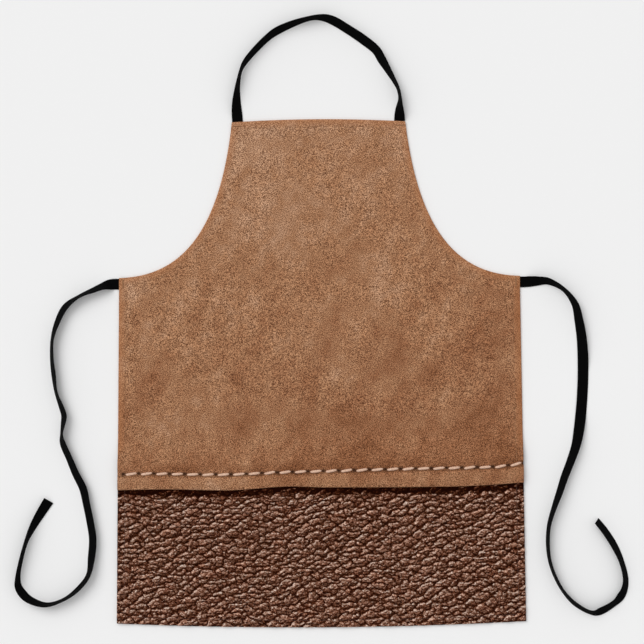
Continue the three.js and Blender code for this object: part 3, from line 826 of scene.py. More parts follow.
class Lattice:
    """Jittered seeds in staggered rows, for so many cells across and up, each with a tone."""

    def __init__(self, across, up, seed):
        random = np.random.default_rng(seed)
        shape = (int(up / ROW) + 2 * MARGIN, int(across) + 2 * MARGIN)
        self.shifts = random.uniform(-JITTER, JITTER, (*shape, 2)) * (1, ROW)
        self.tones = random.uniform(0, 1, shape)

    def two_nearest(self, u, v):
        """The nearest and second nearest seed of each point: distance, u, v and tone."""
        row, column = np.round(v / ROW).astype(int) + MARGIN, np.round(u).astype(int) + MARGIN
        first, second = np.full((4, len(u)), FAR), np.full((4, len(u)), FAR)
        for down in range(-3, 4):
            for over in range(-2, 3):
                i, j = row + down, column + over
                seed_u = j - MARGIN + 0.5 * (i % 2) + self.shifts[i, j, 0]
                seed_v = (i - MARGIN) * ROW + self.shifts[i, j, 1]
                away = np.hypot(u - seed_u, v - seed_v)
                found = np.array([away, seed_u, seed_v, self.tones[i, j]])
                second = np.where(away < first[0], first, np.where(away < second[0], found, second))
                first = np.where(away < first[0], found, first)
        return first, second


grain_low = np.array([lower_low.x, lower_low.y])
grain_size = np.array([lower_high.x, lower_high.y]) - grain_low
pebble_lattice = Lattice(*(grain_size / PEBBLE), seed=11)
patch_lattice = Lattice(*(grain_size / PATCH), seed=29)
print("seeds for", pebble_lattice.tones.size, "pebbles and", patch_lattice.tones.size, "patches")

# %% [markdown]
# A crease between patches is deep and wide, most of all where it runs across the hide. One between
# two pebbles of a patch is shallow and narrow, because they stay joined at their feet.

# %% Pebbles, creases and patches
SWAY = 60 * MM  # sizes of the noise that bends the rows of pebbles
BEND = 30 * MM
WOBBLE = 6 * MM
DEEP_CREASE = 1.1 * MM  # half the width of a crease between patches
CREASE = 0.65 * MM  # and of one between two pebbles
DOME = 3.4 * MM  # from a pebble's border to its flat top
SWELL = (1.9 * MM, 5.5 * MM)  # how much a patch rises, and over what distance from its border


def pebble_field(points):
    """Height of the pebbles, how deep each point is in a crease, and the tone of its pebble."""
    bend = clouds(points, BEND, 0.5)
    u, v = ((points - grain_low) / PEBBLE).T
    u = u + 0.35 * bend + 0.12 * clouds(points, WOBBLE, 3.5)
    v = v + clouds(points, SWAY, 7.5) + 0.25 * bend + 0.12 * clouds(points, WOBBLE, 9.5)
    first, second = pebble_lattice.two_nearest(u, v)
    border = (second[0] - first[0]) * PEBBLE[1] / 2
    to_patch = PEBBLE / PATCH
    patch, other_patch = (
        patch_lattice.two_nearest(seed[1] * to_patch[0], seed[2] * to_patch[1])[0][3]
        for seed in (first, second)
    )
    parted = patch != other_patch
    level = np.abs(second[2] - first[2]) / np.hypot(second[1] - first[1], second[2] - first[2])
    deep = 0.3 + 0.7 * level
    crease = np.where(parted, deep * bump(border, 0, DEEP_CREASE), 0.4 * bump(border, 0, CREASE))
    dome = np.clip(border / DOME, 0, 1) ** 0.85
    low = np.where(parted, 0.1, 0.6)
    nearest, next_nearest = patch_lattice.two_nearest(u * to_patch[0], v * to_patch[1])
    inwards = (next_nearest[0] - nearest[0]) * PATCH[1] / 2
    swell = SWELL[0] * np.clip(inwards / SWELL[1], 0, 1) ** 0.8
    height = ((low + (1 - low) * dome) * (1.3 + 0.5 * first[3]) - 0.6 * crease) * MM + swell
    return height, crease, first[3]


print("a patch swells by", SWELL[0] / MM, "mm")

# %% Heights of the pebbled panel
FOOT = 0.35 * MM  # how far a pebble's foot lies under the hide's own surface
LOW_WAVE = 0.5 * MM
WAVE_SIZE = 90 * MM
RAW_EDGE = LAP_UNDER - HEM_TURN * 1.001  # over this only the sides are turned: the top is raw
RAW_NOSE = 0.3 * MM


def pebble_room(points):
    """Full pebbles in the open, pressed flat under the lap and calmer at the turned edges."""
    along, over = lap_place(points)
    free = smoothstep(4 * MM, -2 * MM, over - edge_wave(along))
    distance = lower_edge.distance(points)
    thread = 1 - 0.6 * bump(distance, THREAD_LINE, 1.1 * MM)
    return free * thread * smoothstep(-MM, 3 * MM, distance)


def hide_waves(points):
    """Low waves in the middle of the hide, which its front and back both follow."""
    _, over = lap_place(points)
    inner = smoothstep(15 * MM, 60 * MM, lower_edge.distance(points))
    middle = inner * smoothstep(0, -50 * MM, over)
    return middle * LOW_WAVE * (1 + clouds(points, WAVE_SIZE, 4.4))


def pebble_top(points):
    height, _, _ = pebble_field(points)
    return GRAIN_LOW + (height - FOOT) * pebble_room(points) + hide_waves(points)


def pebble_back(points):
    distance = lower_edge.distance(points)
    _, over = lap_place(points)
    hemmed = (distance < HEM_TURN) & (over < RAW_EDGE)
    side = HALF_HEM - np.abs(points[:, 0]) < HEM_TURN
    return np.where(hemmed | ((over > RAW_EDGE) & side), 0, HIDE + hide_waves(points))


def pebble_nose(points):
    _, over = lap_place(points)
    cut = smoothstep(LAP_UNDER - 1.5 * MM, LAP_UNDER, over)
    return HEM_NOSE * (1 - cut) + RAW_NOSE * cut, np.zeros(len(points))


print("the hide's hem is", GRAIN_LOW / MM, "mm thick")

# %% The pebbled panel
PEBBLE_SPACING = 1.45 * MM
UNDER_SPACING = 6 * MM
NOSE_CLEAR = 2.6 * MM  # the points keep this far from the panel's edge
HIDDEN = 5 * MM  # past this far over the lap's edge the pebbles are out of sight

fine = spots(lower_outline, lower_edge, PEBBLE_SPACING, NOSE_CLEAR)
coarse = spots(lower_outline, lower_edge, UNDER_SPACING, NOSE_CLEAR)
fine = fine[lap_place(fine)[1] < HIDDEN]
under = coarse[lap_place(coarse)[1] > HIDDEN + 2 * MM]
hem_rings = [
    ring(lower_outline[::2], lower_edge, distance) for distance in (HEM_TURN - SHARP, HEM_TURN + SHARP)
]
lower_panel = leather_shell(
    "lower_panel_pebbled",
    lower_outline,
    pebble_nose,
    (pebble_top, pebble_back),
    (([], np.vstack([fine, under])), ([], np.vstack([coarse, *hem_rings]))),
)

# %% [markdown]
# ## What the panels carry for their finishes
# A finish that follows the shape reads numbers that each point of the mesh carries. The suede
# carries its distance from the edge in millimetres, a painted highlight on the roll of its fold with
# painted shade just over the big stitches, and painted shade in its needle holes and under each
# stitch. The fold is no turned edge, so the distance is put 40 mm up beside it. The hide carries
# painted light and shade, paler where its pebbles face the light at the upper left and darker in its
# creases and in a painted shadow below the lap, and the tone of each pebble.

# %% Attributes of the suede
# Painted shade: dark needle holes, and a painted shadow just under each big stitch.
HOLE_SHADE = 2.6 * MM
THREAD_SHADE = (0.55, -2.7 * MM, 0.9 * MM)  # how dark, where from the stitches, how wide
NOT_AN_EDGE = 40


def write_attribute(panel, name, values):
    """Stores one number for each point of a panel, for its material to read."""
    attribute = panel.data.attributes.new(name, "FLOAT", "POINT")
    attribute.data.foreach_set("value", np.asarray(values, np.float32))
    print(panel.name, name, "from", round(np.min(values), 2), "to", round(np.max(values), 2))


def points_of(panel):
    flat = np.zeros(len(panel.data.vertices) * 3)
    panel.data.vertices.foreach_get("co", flat)
    return flat.reshape(-1, 3)[:, :2]


points = points_of(upper_panel)
along, over = lap_place(points)
from_line = over - stitch_line(along)
beside_fold = smoothstep(60 * MM, 40 * MM, over)
roll = smoothstep(-4 * MM, -7 * MM, from_line)
painted_thread_shadow = THREAD_SHADE[0] * bump(from_line, THREAD_SHADE[1], THREAD_SHADE[2])
hole = bump(np.hypot(from_gap(along) / 1.5, from_line), 0, HOLE_SHADE)
edge_distance = upper_edge.distance(points) / MM + NOT_AN_EDGE * beside_fold
write_attribute(upper_panel, "edge", edge_distance)
# painted light and shade: the roll under the big stitches is painted paler, and a band just over them
# painted darker
write_attribute(upper_panel, "painted_roll_light_and_shade", roll - bump(from_line, 7 * MM, 9 * MM))
write_attribute(upper_panel, "hole", np.maximum(hole, painted_thread_shadow))

# %% Attributes of the hide
TOWARDS_LIGHT = np.array([-0.7, 0.7]) * MM  # a short way towards the light at the upper left, for the painted light
LAP_SHADOW_FADE = (-13 * MM, -5 * MM)  # the painted shadow below the fold is full within 5 mm of its edge and gone 13 mm below it

points = points_of(lower_panel)
along, over = lap_place(points)
height, crease, tone = pebble_field(points)
facing = height - pebble_field(points + TOWARDS_LIGHT)[0]  # over 0 on the side that faces the light
painted_lap_shadow = smoothstep(*LAP_SHADOW_FADE, over - edge_wave(along))
# Painted light and shade: pebbles paler on the side facing the light, darker on the far side, creases
# painted dark, and a painted shadow below the lap's fold.
painted_pebble_light = np.clip(0.46 + 0.7 * facing / MM - 0.6 * crease, 0, 1)
write_attribute(lower_panel, "painted_pebble_light", painted_pebble_light - 0.58 * painted_lap_shadow)
write_attribute(lower_panel, "tone", tone)

# %% [markdown]
# Each panel is attached to the panels' body, and the frame's plain solid is hidden. The table also
# lists the size of its leather laid out flat: the seen outline with its turned hems, its fold, and
# what runs on under the lap.

# %% The panels on their body
for panel, node, slot_name, flat, area, rests_on in (
    (upper_panel, "upper_panel", "suede", (0.621, 0.591), 0.293, ["lower_panel_pebbled"]),
    (lower_panel, "lower_panel", "pebble_leather", (0.634, 0.262), 0.163, []),
):
    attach(panel, "panels")
    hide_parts(node)
    print(panel.name, "is cut from", flat[0], "by", flat[1], "m")

# %% [markdown]
# ## Stitches
# One stitch is modelled as by hand and then copied. It starts as a small round disc of thread. The
# disc's face is extruded in short steps, and each step moves it on, turns it and scales it, which
# gives two twisted plies that taper and dive into the leather at both ends.

# %% One stitch
def model_stitch(name, length, width, height, sides, steps, twist, dive):
    """A stitch along X with its middle at the origin. Its ends dive by the given depth."""
    bpy.ops.object.select_all(action="DESELECT")
    bpy.ops.mesh.primitive_circle_add(
        vertices=sides,
        radius=width / 2,
        fill_type="NGON",
        location=(-length / 2, 0, 0),
        rotation=(0, math.pi / 2, 0),
    )
    stitch = bpy.context.object
    stitch.name = stitch.data.name = name
    bpy.ops.object.transform_apply(location=True, rotation=True, scale=True)
    bpy.ops.object.mode_set(mode="EDIT")
    bpy.ops.mesh.select_mode(type="FACE")
    bpy.ops.mesh.select_all(action="SELECT")
    shape = bmesh.from_edit_mesh(stitch.data)
    for vertex in shape.verts:  # two plies side by side: the disc is drawn in at its waist
        waist = abs(vertex.co.z) / (width / 2)
        vertex.co.y *= 1 - 0.5 * waist
    bmesh.update_edit_mesh(stitch.data)
    places = np.linspace(-1, 1, steps + 1)
    fullness = np.sqrt(np.clip(1.06 - np.abs(places) ** 3, 0, 1))
    depth = -dive * np.abs(places) ** 5
    bpy.ops.transform.resize(value=(1, fullness[0], fullness[0]), center_override=(-length / 2, 0, 0))
    bpy.ops.transform.translate(value=(0, 0, depth[0]))
    for k in range(1, steps + 1):
        x = places[k] * length / 2
        bpy.ops.mesh.extrude_region_move(
            TRANSFORM_OT_translate={"value": (length / steps, 0, depth[k] - depth[k - 1])}
        )
        centre = (x, 0, depth[k])
        bpy.ops.transform.rotate(value=twist / steps, orient_axis="X", center_override=centre)
        share = fullness[k] / fullness[k - 1]
        bpy.ops.transform.resize(value=(1, share, share), center_override=centre)
    bpy.ops.mesh.select_all(action="SELECT")
    bpy.ops.mesh.normals_make_consistent(inside=False)
    bpy.ops.transform.resize(value=(1, 1, height / width), center_override=(0, 0, 0))
    bpy.ops.object.mode_set(mode="OBJECT")
    stitch.data.shade_smooth()
    print(name, "has", len(stitch.data.polygons), "faces")
    return stitch


# %% [markdown]
# A row of stitches is one piece. The pattern's points are moved to each place by a matrix, which
# is cheaper than joining hundreds of objects, and then the pattern is removed.

# %% Copies of a stitch
def copies(name, pattern, places):
    """One piece made of copies of a pattern, each moved by its own matrix."""
    verts = np.array([v.co for v in pattern.data.vertices])
    polygons = [tuple(face.vertices) for face in pattern.data.polygons]
    vertices, faces = [], []
    for matrix in places:
        turn, move = np.array(matrix.to_3x3()), np.array(matrix.translation)
        first = len(vertices)
        vertices.extend(verts @ turn.T + move)
        faces += [tuple(first + i for i in face) for face in polygons]
    made = new_mesh_object(name, vertices, faces)
    made.data.shade_smooth()
    print(name, "has", len(places), "stitches and", len(faces), "faces")
    return made


def remove(thing):
    """Takes a pattern and its mesh out of the file."""
    mesh = thing.data
    bpy.data.objects.remove(thing)
    bpy.data.meshes.remove(mesh)


def laid(point, direction, height):
    """A matrix that lays a stitch at a point, along a direction given as (x, y, rise)."""
    along = Vector(direction).normalized()
    across = Vector((0, 0, 1)).cross(along).normalized()
    up = along.cross(across)
    turn = Matrix((along, across, up)).transposed().to_4x4()
    return Matrix.Translation((point[0], point[1], height)) @ turn


# %% [markdown]
# The big stitches of the lap seam are waxed thread of about 4 mm, sewn by hand: each one lies a
# little askew to the seam, because the needle goes in on one side of the line and out on the other.

# %% The lap seam's thread
SEAM_THREAD = (4.2 * MM, 2.9 * MM)
SEAM_DIVE = 1.7 * MM
SEAM_RISE = 0.45 * MM  # the middle of a stitch lies this far over the groove
SEAM_TWIST = math.radians(540)
SLANT = math.radians(6.5)

seam_stitch = model_stitch(
    "seam_stitch",
    SEAM_STITCH,
    *SEAM_THREAD,
    sides=14,
    steps=16,
    twist=SEAM_TWIST,
    dive=SEAM_DIVE,
)
random = np.random.default_rng(5)
places = []
for middle in seam_middles:
    near = middle + np.array([-4, 0, 4]) * MM
    before, centre, after = at_lap(near, stitch_line(near))
    slant = SLANT + math.radians(random.uniform(-2.5, 3.5))
    heading = math.atan2(after[1] - before[1], after[0] - before[0]) + slant
    direction = (math.cos(heading), math.sin(heading), 0)
    height = suede_top(centre[None])[0] + SEAM_RISE
    places.append(laid(centre, direction, height))
lap_thread = copies("lap_seam_stitches", seam_stitch, places)
remove(seam_stitch)
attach(lap_thread, "panels")
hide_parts("lap_seam_thread")

# %% [markdown]
# ## Hem stitches and bar tacks
# The turned edges are held by a fine machine stitch in thread of the leather's own colour, about
# eight stitches to the inch. Where a tape is sewn in, a bar tack crosses it: a short bar of close
# zigzag stitches.

# %% Hem stitches
HEM_STITCH = 2.7 * MM
HEM_PITCH = 3.2 * MM
HEM_THREAD = (0.9 * MM, 0.7 * MM)
HEM_DIVE = 0.45 * MM
HEM_RISE = 0.12 * MM
HEM_TWIST = math.radians(200)
CORNER = 14 * MM  # a row of stitches stops this far from a corner
FINE_STEP = 0.5 * MM  # of a line that is shifted or cut

hem_stitch = model_stitch(
    "hem_stitch", HEM_STITCH, *HEM_THREAD, sides=6, steps=6, twist=HEM_TWIST, dive=HEM_DIVE
)


def stitch_row(line, top):
    """Places for stitches along an edge of the apron, at the thread line inside it."""
    even = evenly(np.asarray(line, float), FINE_STEP)
    direction = np.gradient(even, axis=0)
    direction /= np.linalg.norm(direction, axis=1)[:, None]
    inner = even + np.column_stack([-direction[:, 1], direction[:, 0]]) * THREAD_LINE
    row = evenly(inner, HEM_PITCH)
    middles = (row[1:] + row[:-1]) / 2
    before, after = top(row[:-1]), top(row[1:])
    heights = top(middles) + HEM_RISE
    steps = np.column_stack([row[1:] - row[:-1], after - before])
    return [laid(p, d, h) for p, d, h in zip(middles, steps, heights)]


def shortened(line, start, end):
    """A line without its first and last stretch."""
    even = evenly(np.asarray(line, float), FINE_STEP)
    return even[int(start / FINE_STEP) : len(even) - int(end / FINE_STEP)]


NEAR_SIDE = 300 * MM  # a place along the seam, close to the panel's side
upper_side = [side_over(stitch_line(NEAR_SIDE) + 4 * MM), side_corner]
lower_side = [bottom_corner, side_over(-1.5 * MM)]
hem_rows = [
    ("bib_top_hem_thread", bib_top, CORNER, CORNER, suede_top, "tan_thread"),
    ("armhole_hem_thread_left", armhole_left, CORNER, CORNER, suede_top, "tan_thread"),
    ("armhole_hem_thread_right", armhole_right, CORNER, CORNER, suede_top, "tan_thread"),
    ("upper_side_hem_thread_left", mirrored(upper_side), CORNER, 0, suede_top, "tan_thread"),
    ("upper_side_hem_thread_right", upper_side, 0, CORNER, suede_top, "tan_thread"),
    ("lower_side_hem_thread_left", mirrored(lower_side), 0, CORNER, pebble_top, "brown_thread"),
    ("lower_side_hem_thread_right", lower_side, CORNER, 0, pebble_top, "brown_thread"),
    ("bottom_hem_thread", hem, CORNER, CORNER, pebble_top, "brown_thread"),
]
threads = []
for node, line, start, end, top, slot_name in hem_rows:
    row = copies(node + "_stitches", hem_stitch, stitch_row(shortened(line, start, end), top))
    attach(row, "panels")
    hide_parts(node)
    threads.append((row, slot_name))
remove(hem_stitch)

# %% Bar tacks
TACK_LENGTH = 13 * MM
TACK_STITCH = 2.6 * MM
TACK_THREAD = (0.62 * MM, 0.55 * MM)
TACK_DIVE = 0.3 * MM
TACK_RISE = 0.15 * MM
TACK_TWIST = math.radians(120)
TACK_COUNT = 26
TACK_INSET = 6 * MM
ZIGZAG = math.radians(11)

tack_stitch = model_stitch(
    "tack_stitch", TACK_STITCH, *TACK_THREAD, sides=6, steps=5, twist=TACK_TWIST, dive=TACK_DIVE
)
for word, side in (("left", -1), ("right", 1)):
    for root, (x, y), turn in (
        ("neck", (side * NECK_ROOT[0], NECK_ROOT[1] - TACK_INSET), 0),
        ("waist", (side * (WAIST_ROOT[0] - TACK_INSET), WAIST_ROOT[1]), math.pi / 2),
    ):
        places = []
        for k in range(TACK_COUNT):
            shift = (k / (TACK_COUNT - 1) - 0.5) * TACK_LENGTH
            heading = turn + math.pi / 2 + ZIGZAG * (-1) ** k
            point = (x + shift * math.cos(turn), y + shift * math.sin(turn))
            height = suede_top(np.array([point]))[0] + TACK_RISE
            places.append(laid(point, (math.cos(heading), math.sin(heading), 0), height))
        tack = copies(f"{root}_bar_tack_stitches_{word}", tack_stitch, places)
        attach(tack, "panels")
        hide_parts(f"{root}_bar_tack_{word}")
        threads.append((tack, "tan_thread"))
remove(tack_stitch)

# %% [markdown]
# ## Finishes
# Each material is built from what the real one is. Colours are written as sRGB hex values and
# turned to linear light by one function. Patterns take their scale from a real size.

# %% Tools for materials
def linear(colour):
    """A colour such as #a97650 as linear red, green, blue and alpha."""
    parts = [int(colour[i : i + 2], 16) / 255 for i in (1, 3, 5)]
    return (*(c / 12.92 if c <= 0.04045 else ((c + 0.055) / 1.055) ** 2.4 for c in parts), 1)


def add_node(tree, kind, inputs=None, stops=None, **settings):
    """Adds a node with its settings, values and links. stops are a colour ramp's."""
    node = tree.nodes.new("ShaderNode" + kind)
    for name, value in settings.items():
        setattr(node, name, value)
    for name, value in (inputs or {}).items():
        if isinstance(value, bpy.types.NodeSocket):
            tree.links.new(value, node.inputs[name])
        else:
            node.inputs[name].default_value = value
    if stops:
        ramp = node.color_ramp.elements
        while len(ramp) < len(stops):
            ramp.new(0.5)
        for element, (place, colour) in zip(ramp, stops):
            element.position, element.color = place, linear(colour)
    return node


def new_material(name, **shader_values):
    """A material with one Principled shader, and constants set on the shader itself."""
    material = bpy.data.materials.new(name)
    material.use_nodes = True
    tree = material.node_tree
    shader = tree.nodes["Principled BSDF"]
    for socket, value in shader_values.items():
        shader.inputs[socket.replace("_", " ")].default_value = value
    return material, tree, shader


def per(size):
    """A noise texture's scale for details of a size in metres."""
    return 1 / size


print("#808080 is", round(linear("#808080")[0], 3), "in linear light")

# %% [markdown]
# ### Napped suede
# Suede is the split, sanded side of a hide. Its nap scatters light softly, with no shine, and lies
# in patches that were brushed one way or the other, which read as paler and darker clouds. They are
# noise, drawn out along the way the hide was brushed. The bib is more even than the rest, so there
# the clouds are mixed half with their mean. The hide darkens a little from the top left of the bib
# down to its lower right. The roll of the fold under the big stitches carries a painted highlight,
# and a band just over them carries painted shade.

# %% Clouds in the suede
STREAK_TURN = math.radians(62)
STREAK_STRETCH = (2.4, 1, 1)
PALER = (-0.16, 0.35, 0)  # how much paler the hide gets for each metre along x and y
suede, tree, shader = new_material(
    "napped_suede", Roughness=0.95, Specular_IOR_Level=0.15, Sheen_Weight=0.1, Sheen_Roughness=0.5
)
shader.inputs["Sheen Tint"].default_value = linear("#e8c9a8")
place = add_node(tree, "TexCoord").outputs["Object"]
streak = add_node(
    tree, "Mapping", {"Vector": place, "Rotation": (0, 0, STREAK_TURN), "Scale": STREAK_STRETCH},
    vector_type="TEXTURE",
).outputs[0]
cloud = add_node(
    tree, "TexNoise", {"Vector": streak, "Scale": per(48 * MM), "Detail": 5.0, "Roughness": 0.6}
).outputs[0]
height_up = add_node(tree, "SeparateXYZ", {0: place}).outputs["Y"]
calm = add_node(tree, "MapRange", {0: height_up, 1: 0.12, 2: 0.28, 3: 0.1, 4: 0.5}).outputs[0]
cloud = add_node(tree, "Mix", {0: calm, 2: cloud, 3: 0.5}).outputs[0]
patch = add_node(
    tree, "TexNoise", {"Vector": place, "Scale": per(16 * MM), "Detail": 3.0}
).outputs[0]
patch = add_node(tree, "Math", {0: patch, 1: 0.3}, operation="MULTIPLY").outputs[0]
mottle = add_node(tree, "Math", {0: cloud, 1: 0.7, 2: patch}, operation="MULTIPLY_ADD").outputs[0]
across = add_node(
    tree, "VectorMath", {0: place, 1: PALER}, operation="DOT_PRODUCT"
).outputs["Value"]
mottle = add_node(tree, "Math", {0: mottle, 1: across}, operation="ADD").outputs[0]
painted_roll_light_and_shade = add_node(tree, "Attribute", attribute_name="painted_roll_light_and_shade").outputs["Fac"]
# painted highlight on the fold's roll and painted shade just over the big stitches
mottle = add_node(
    tree, "Math", {0: painted_roll_light_and_shade, 1: 0.07, 2: mottle}, operation="MULTIPLY_ADD"
).outputs[0]
base = add_node(
    tree, "ValToRGB", {0: mottle},
    stops=[(0.3, "#aa6e48"), (0.42, "#c2855d"), (0.56, "#d79d73"), (0.72, "#efbb95")],
).outputs[0]
print(suede.name, "has clouds with", len(tree.nodes), "nodes")

# %% [markdown]
# Close by, single fibres of the nap catch the light or lie in the shade. A fine noise multiplies the
# colour with dark, warm specks and pale ones, and the same noise roughens the surface. The turned
# edges show a warmer tone. The needle holes and a line under each big stitch are painted dark, as
# painted shade.

# %% Nap, edges and holes of the suede
grain = add_node(
    tree, "TexNoise", {"Vector": place, "Scale": per(1.2 * MM), "Detail": 2.0, "Roughness": 0.8}
).outputs[0]
speck = add_node(
    tree, "ValToRGB", {0: grain},
    stops=[(0.39, "#604c3c"), (0.5, "#a9a5a2"), (0.57, "#f8fcff")],
).outputs[0]
napped = add_node(
    tree, "Mix", {0: 1.0, 6: base, 7: speck}, data_type="RGBA", blend_type="MULTIPLY"
).outputs[2]
edge = add_node(tree, "Attribute", attribute_name="edge").outputs["Fac"]
near_edge = add_node(tree, "MapRange", {0: edge, 1: 2.0, 2: 12.0, 3: 0.35, 4: 0.0}).outputs[0]
warm = add_node(
    tree, "Mix", {0: near_edge, 6: napped, 7: linear("#b07045")}, data_type="RGBA"
).outputs[2]
# the hole attribute is painted shade: dark needle holes and a painted shadow under each big stitch
hole = add_node(tree, "Attribute", attribute_name="hole").outputs["Fac"]
coloured = add_node(
    tree, "Mix", {0: hole, 6: warm, 7: linear("#221109")}, data_type="RGBA"
).outputs[2]
tree.links.new(coloured, shader.inputs["Base Color"])
nap = add_node(tree, "Bump", {"Strength": 0.7, "Distance": 0.6 * MM, "Height": grain}).outputs[0]
tree.links.new(nap, shader.inputs["Normal"])
print(suede.name, "with", len(tree.nodes), "nodes")

# %% [markdown]
# ### Pebble-grain leather
# Drum-tumbled hide with a semi-gloss finish. Its colour holds painted light and shade: the creases
# are painted dark, each pebble is painted paler on the side that faces the light at the upper left
# and darker on the other, and a painted shadow lies below the lap. Fine wrinkles run across the
# hide, and break up the painted light.

# %% Pebble-grain leather
WRINKLE_STRETCH = (2.4, 1, 1)
pebble, tree, shader = new_material("pebble_grain_leather", IOR=1.5)
place = add_node(tree, "TexCoord").outputs["Object"]
wrinkled = add_node(
    tree, "Mapping", {"Vector": place, "Scale": WRINKLE_STRETCH}, vector_type="TEXTURE"
).outputs[0]
painted_pebble_light = add_node(tree, "Attribute", attribute_name="painted_pebble_light").outputs["Fac"]
pebble_tone = add_node(tree, "Attribute", attribute_name="tone").outputs["Fac"]
wear = add_node(
    tree, "TexNoise", {"Vector": wrinkled, "Scale": per(1.1 * MM), "Detail": 2.0, "Roughness": 0.8}
).outputs[0]
speckle = add_node(tree, "MapRange", {0: wear, 1: 0.35, 2: 0.65, 3: -0.42, 4: 0.42}).outputs[0]
painted_light_with_speckle = add_node(tree, "Math", {0: painted_pebble_light, 1: speckle}, operation="ADD").outputs[0]
# the ramp turns the painted light and shade into colour, from near-black painted shade to a pale
# painted highlight
colour = add_node(
    tree, "ValToRGB", {0: painted_light_with_speckle},
    stops=[(0.0, "#1f0600"), (0.28, "#502812"), (0.5, "#7a4c32"), (0.72, "#aa8169"), (1.0, "#ebd9cc")],
).outputs[0]
tint = add_node(
    tree, "ValToRGB", {0: pebble_tone}, stops=[(0.1, "#ffefe8"), (0.6, "#f4f0ee"), (0.95, "#ffe6d8")]
).outputs[0]
colour = add_node(
    tree, "Mix", {0: 1.0, 6: colour, 7: tint}, data_type="RGBA", blend_type="MULTIPLY"
).outputs[2]
tree.links.new(colour, shader.inputs["Base Color"])
gloss = add_node(tree, "MapRange", {0: painted_pebble_light, 1: 0.1, 2: 0.7, 3: 0.02, 4: 0.35}).outputs[0]
tree.links.new(gloss, shader.inputs["Specular IOR Level"])
pores = add_node(
    tree, "TexVoronoi", {"Vector": place, "Scale": per(3.2 * MM)}, feature="F1"
).outputs[0]
relief = add_node(tree, "Math", {0: wear, 1: 1.2, 2: pores}, operation="MULTIPLY_ADD").outputs[0]
grain = add_node(tree, "Bump", {"Strength": 1.0, "Distance": 1.2 * MM, "Height": relief}).outputs[0]
tree.links.new(grain, shader.inputs["Normal"])
print(pebble.name, "with", len(tree.nodes), "nodes")

# %% [markdown]
# ### Woven polyester tape
# Twill tape in black polyester, with fine slanting ribs about a millimetre apart. It is so deep a
# black that the weave only shows close by. On the three swept tapes the ribs follow the tape by its
# UV map. The four sewn-in ends are short and straight, so there they read the piece's own place.

# %% Woven polyester tape
RIB = 1.1 * MM
BAND = 0.2 * math.pi  # a wave texture's diagonal bands are this far apart at a scale of 1


def woven_tape(name, uv_map=None):
    """Black twill tape, on a UV map that counts in tape widths or on the piece's own coordinates."""
    material, tree, shader = new_material(name, Roughness=0.9, Specular_IOR_Level=0.05)
    if uv_map:
        counted = add_node(tree, "UVMap", uv_map=uv_map).outputs[0]
        place = add_node(tree, "Mapping", {"Vector": counted, "Scale": [TAPE_WIDTH] * 3}).outputs[0]
    else:
        place = add_node(tree, "TexCoord").outputs["Object"]
    ribs = add_node(
        tree, "TexWave", {"Vector": place, "Scale": BAND * per(RIB), "Distortion": 0.6, "Detail": 1.0},
        wave_type="BANDS", bands_direction="DIAGONAL",
    ).outputs[1]
    yarn = add_node(
        tree, "TexNoise", {"Vector": place, "Scale": per(0.8 * MM), "Detail": 2.0}
    ).outputs[0]
    height = add_node(tree, "Math", {0: yarn, 1: 0.4, 2: ribs}, operation="MULTIPLY_ADD").outputs[0]
    colour = add_node(
        tree, "ValToRGB", {0: height}, stops=[(0.25, "#010101"), (1.0, "#070708")]
    ).outputs[0]
    tree.links.new(colour, shader.inputs["Base Color"])
    weave = add_node(tree, "Bump", {"Strength": 0.5, "Distance": 0.2 * MM, "Height": height})
    tree.links.new(weave.outputs[0], shader.inputs["Normal"])
    return material


tape_black = woven_tape("black_twill_tape", "weave")
tail_black = woven_tape("black_twill_tape_tail")
print(tape_black.name, "and", tail_black.name)

# %% [markdown]
# ### Threads
# The seam is sewn in heavy waxed thread, and the hems in polyester thread dyed to the leather.

# %% Threads
def thread_material(name, low, high, roughness):
    """Twisted fibres between a low and a high colour."""
    material, tree, shader = new_material(name, Roughness=roughness, Sheen_Weight=0.2)
    place = add_node(tree, "TexCoord").outputs["Object"]
    fibre = add_node(
        tree, "TexNoise", {"Vector": place, "Scale": per(1.2 * MM), "Detail": 3.0, "Roughness": 0.7}
    ).outputs[0]
    colour = add_node(tree, "ValToRGB", {0: fibre}, stops=[(0.3, low), (0.7, high)]).outputs[0]
    tree.links.new(colour, shader.inputs["Base Color"])
    fuzz = add_node(tree, "Bump", {"Strength": 0.4, "Distance": 0.15 * MM, "Height": fibre})
    tree.links.new(fuzz.outputs[0], shader.inputs["Normal"])
    return material


thread_finishes = {
    "pale_thread": thread_material("waxed_pale_thread", "#b1866c", "#f2cfb6", 0.6),
    "tan_thread": thread_material("tan_polyester_thread", "#80542f", "#a5754c", 0.7),
    "brown_thread": thread_material("brown_polyester_thread", "#341b12", "#573326", 0.7),
}
print(len(thread_finishes), "threads")

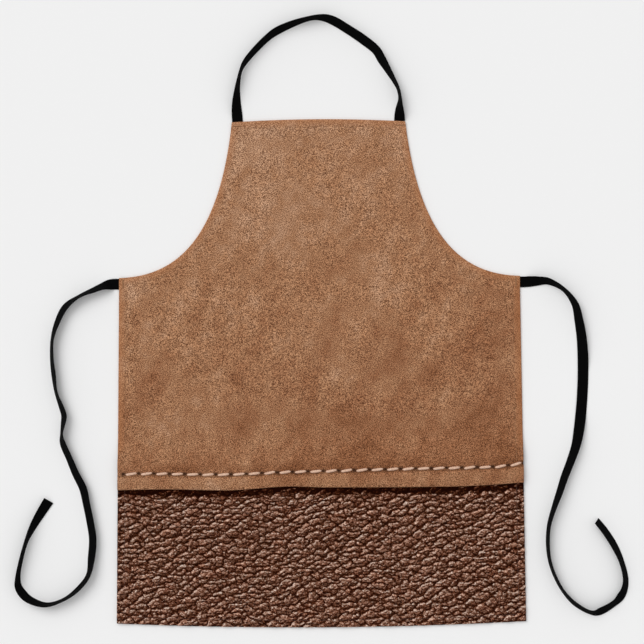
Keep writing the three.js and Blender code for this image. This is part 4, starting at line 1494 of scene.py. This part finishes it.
# %% [markdown]
# Every piece gets one finish. The sewn-in tape ends are the frame's own solids, which are plain
# boxes in the real object as well, so they are kept and only coloured.

# %% Who wears what
def wear_finish(piece, material):
    """Makes one material the only one of a piece."""
    piece.data.materials.clear()
    piece.data.materials.append(material)


wear_finish(upper_panel, suede)
wear_finish(lower_panel, pebble)
wear_finish(lap_thread, thread_finishes["pale_thread"])
for piece, slot_name in threads:
    wear_finish(piece, thread_finishes[slot_name])
for tape in (neck_loop, left_tie, right_tie):
    wear_finish(tape, tape_black)
for root in ("neck_strap", "waist_tie"):
    for word in ("left", "right"):
        wear_finish(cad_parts[f"{root}_tail_{word}"], tail_black)
print("two panels, three tapes, four tape ends and", len(threads) + 1, "threads have a finish")

# %% [markdown]
# ## Floor and light
# The apron lies on a plain pale floor. One wide, soft light comes from above its upper left-hand
# corner, as from a big softbox, and the pale room around fills the shadows.

# %% Floor
FLOOR_SIZE = 60
FLOOR_DROP = 0.25 * MM  # the floor lies just clear of the leather's back
bpy.ops.object.select_all(action="DESELECT")
bpy.ops.mesh.primitive_plane_add(size=FLOOR_SIZE, location=(0, 0, -FLOOR_DROP))
floor = bpy.context.object
floor.name = "floor"
paper, tree, shader = new_material("pale_backdrop_paper", Roughness=0.9, Base_Color=linear("#f1f1f1"))
wear_finish(floor, paper)
print("the floor lies", FLOOR_DROP / MM, "mm under the leather")

# %% Light
SUN_FROM = Vector((-0.75, 0.8, 1.15))
sun_data = bpy.data.lights.new("softbox", "SUN")
sun_data.energy = 1.45
sun_data.angle = math.radians(42)
sun = bpy.data.objects.new("softbox", sun_data)
sun.rotation_mode = "QUATERNION"
sun.rotation_quaternion = SUN_FROM.to_track_quat("Z", "Y")
scene.collection.objects.link(sun)

world = bpy.data.worlds.new("pale_room")
world.use_nodes = True
world.node_tree.nodes["Background"].inputs["Color"].default_value = linear("#f8f8f8")
world.node_tree.nodes["Background"].inputs["Strength"].default_value = 0.7
scene.world = world
scene.view_settings.view_transform = "Standard"
print("floor and light in place")
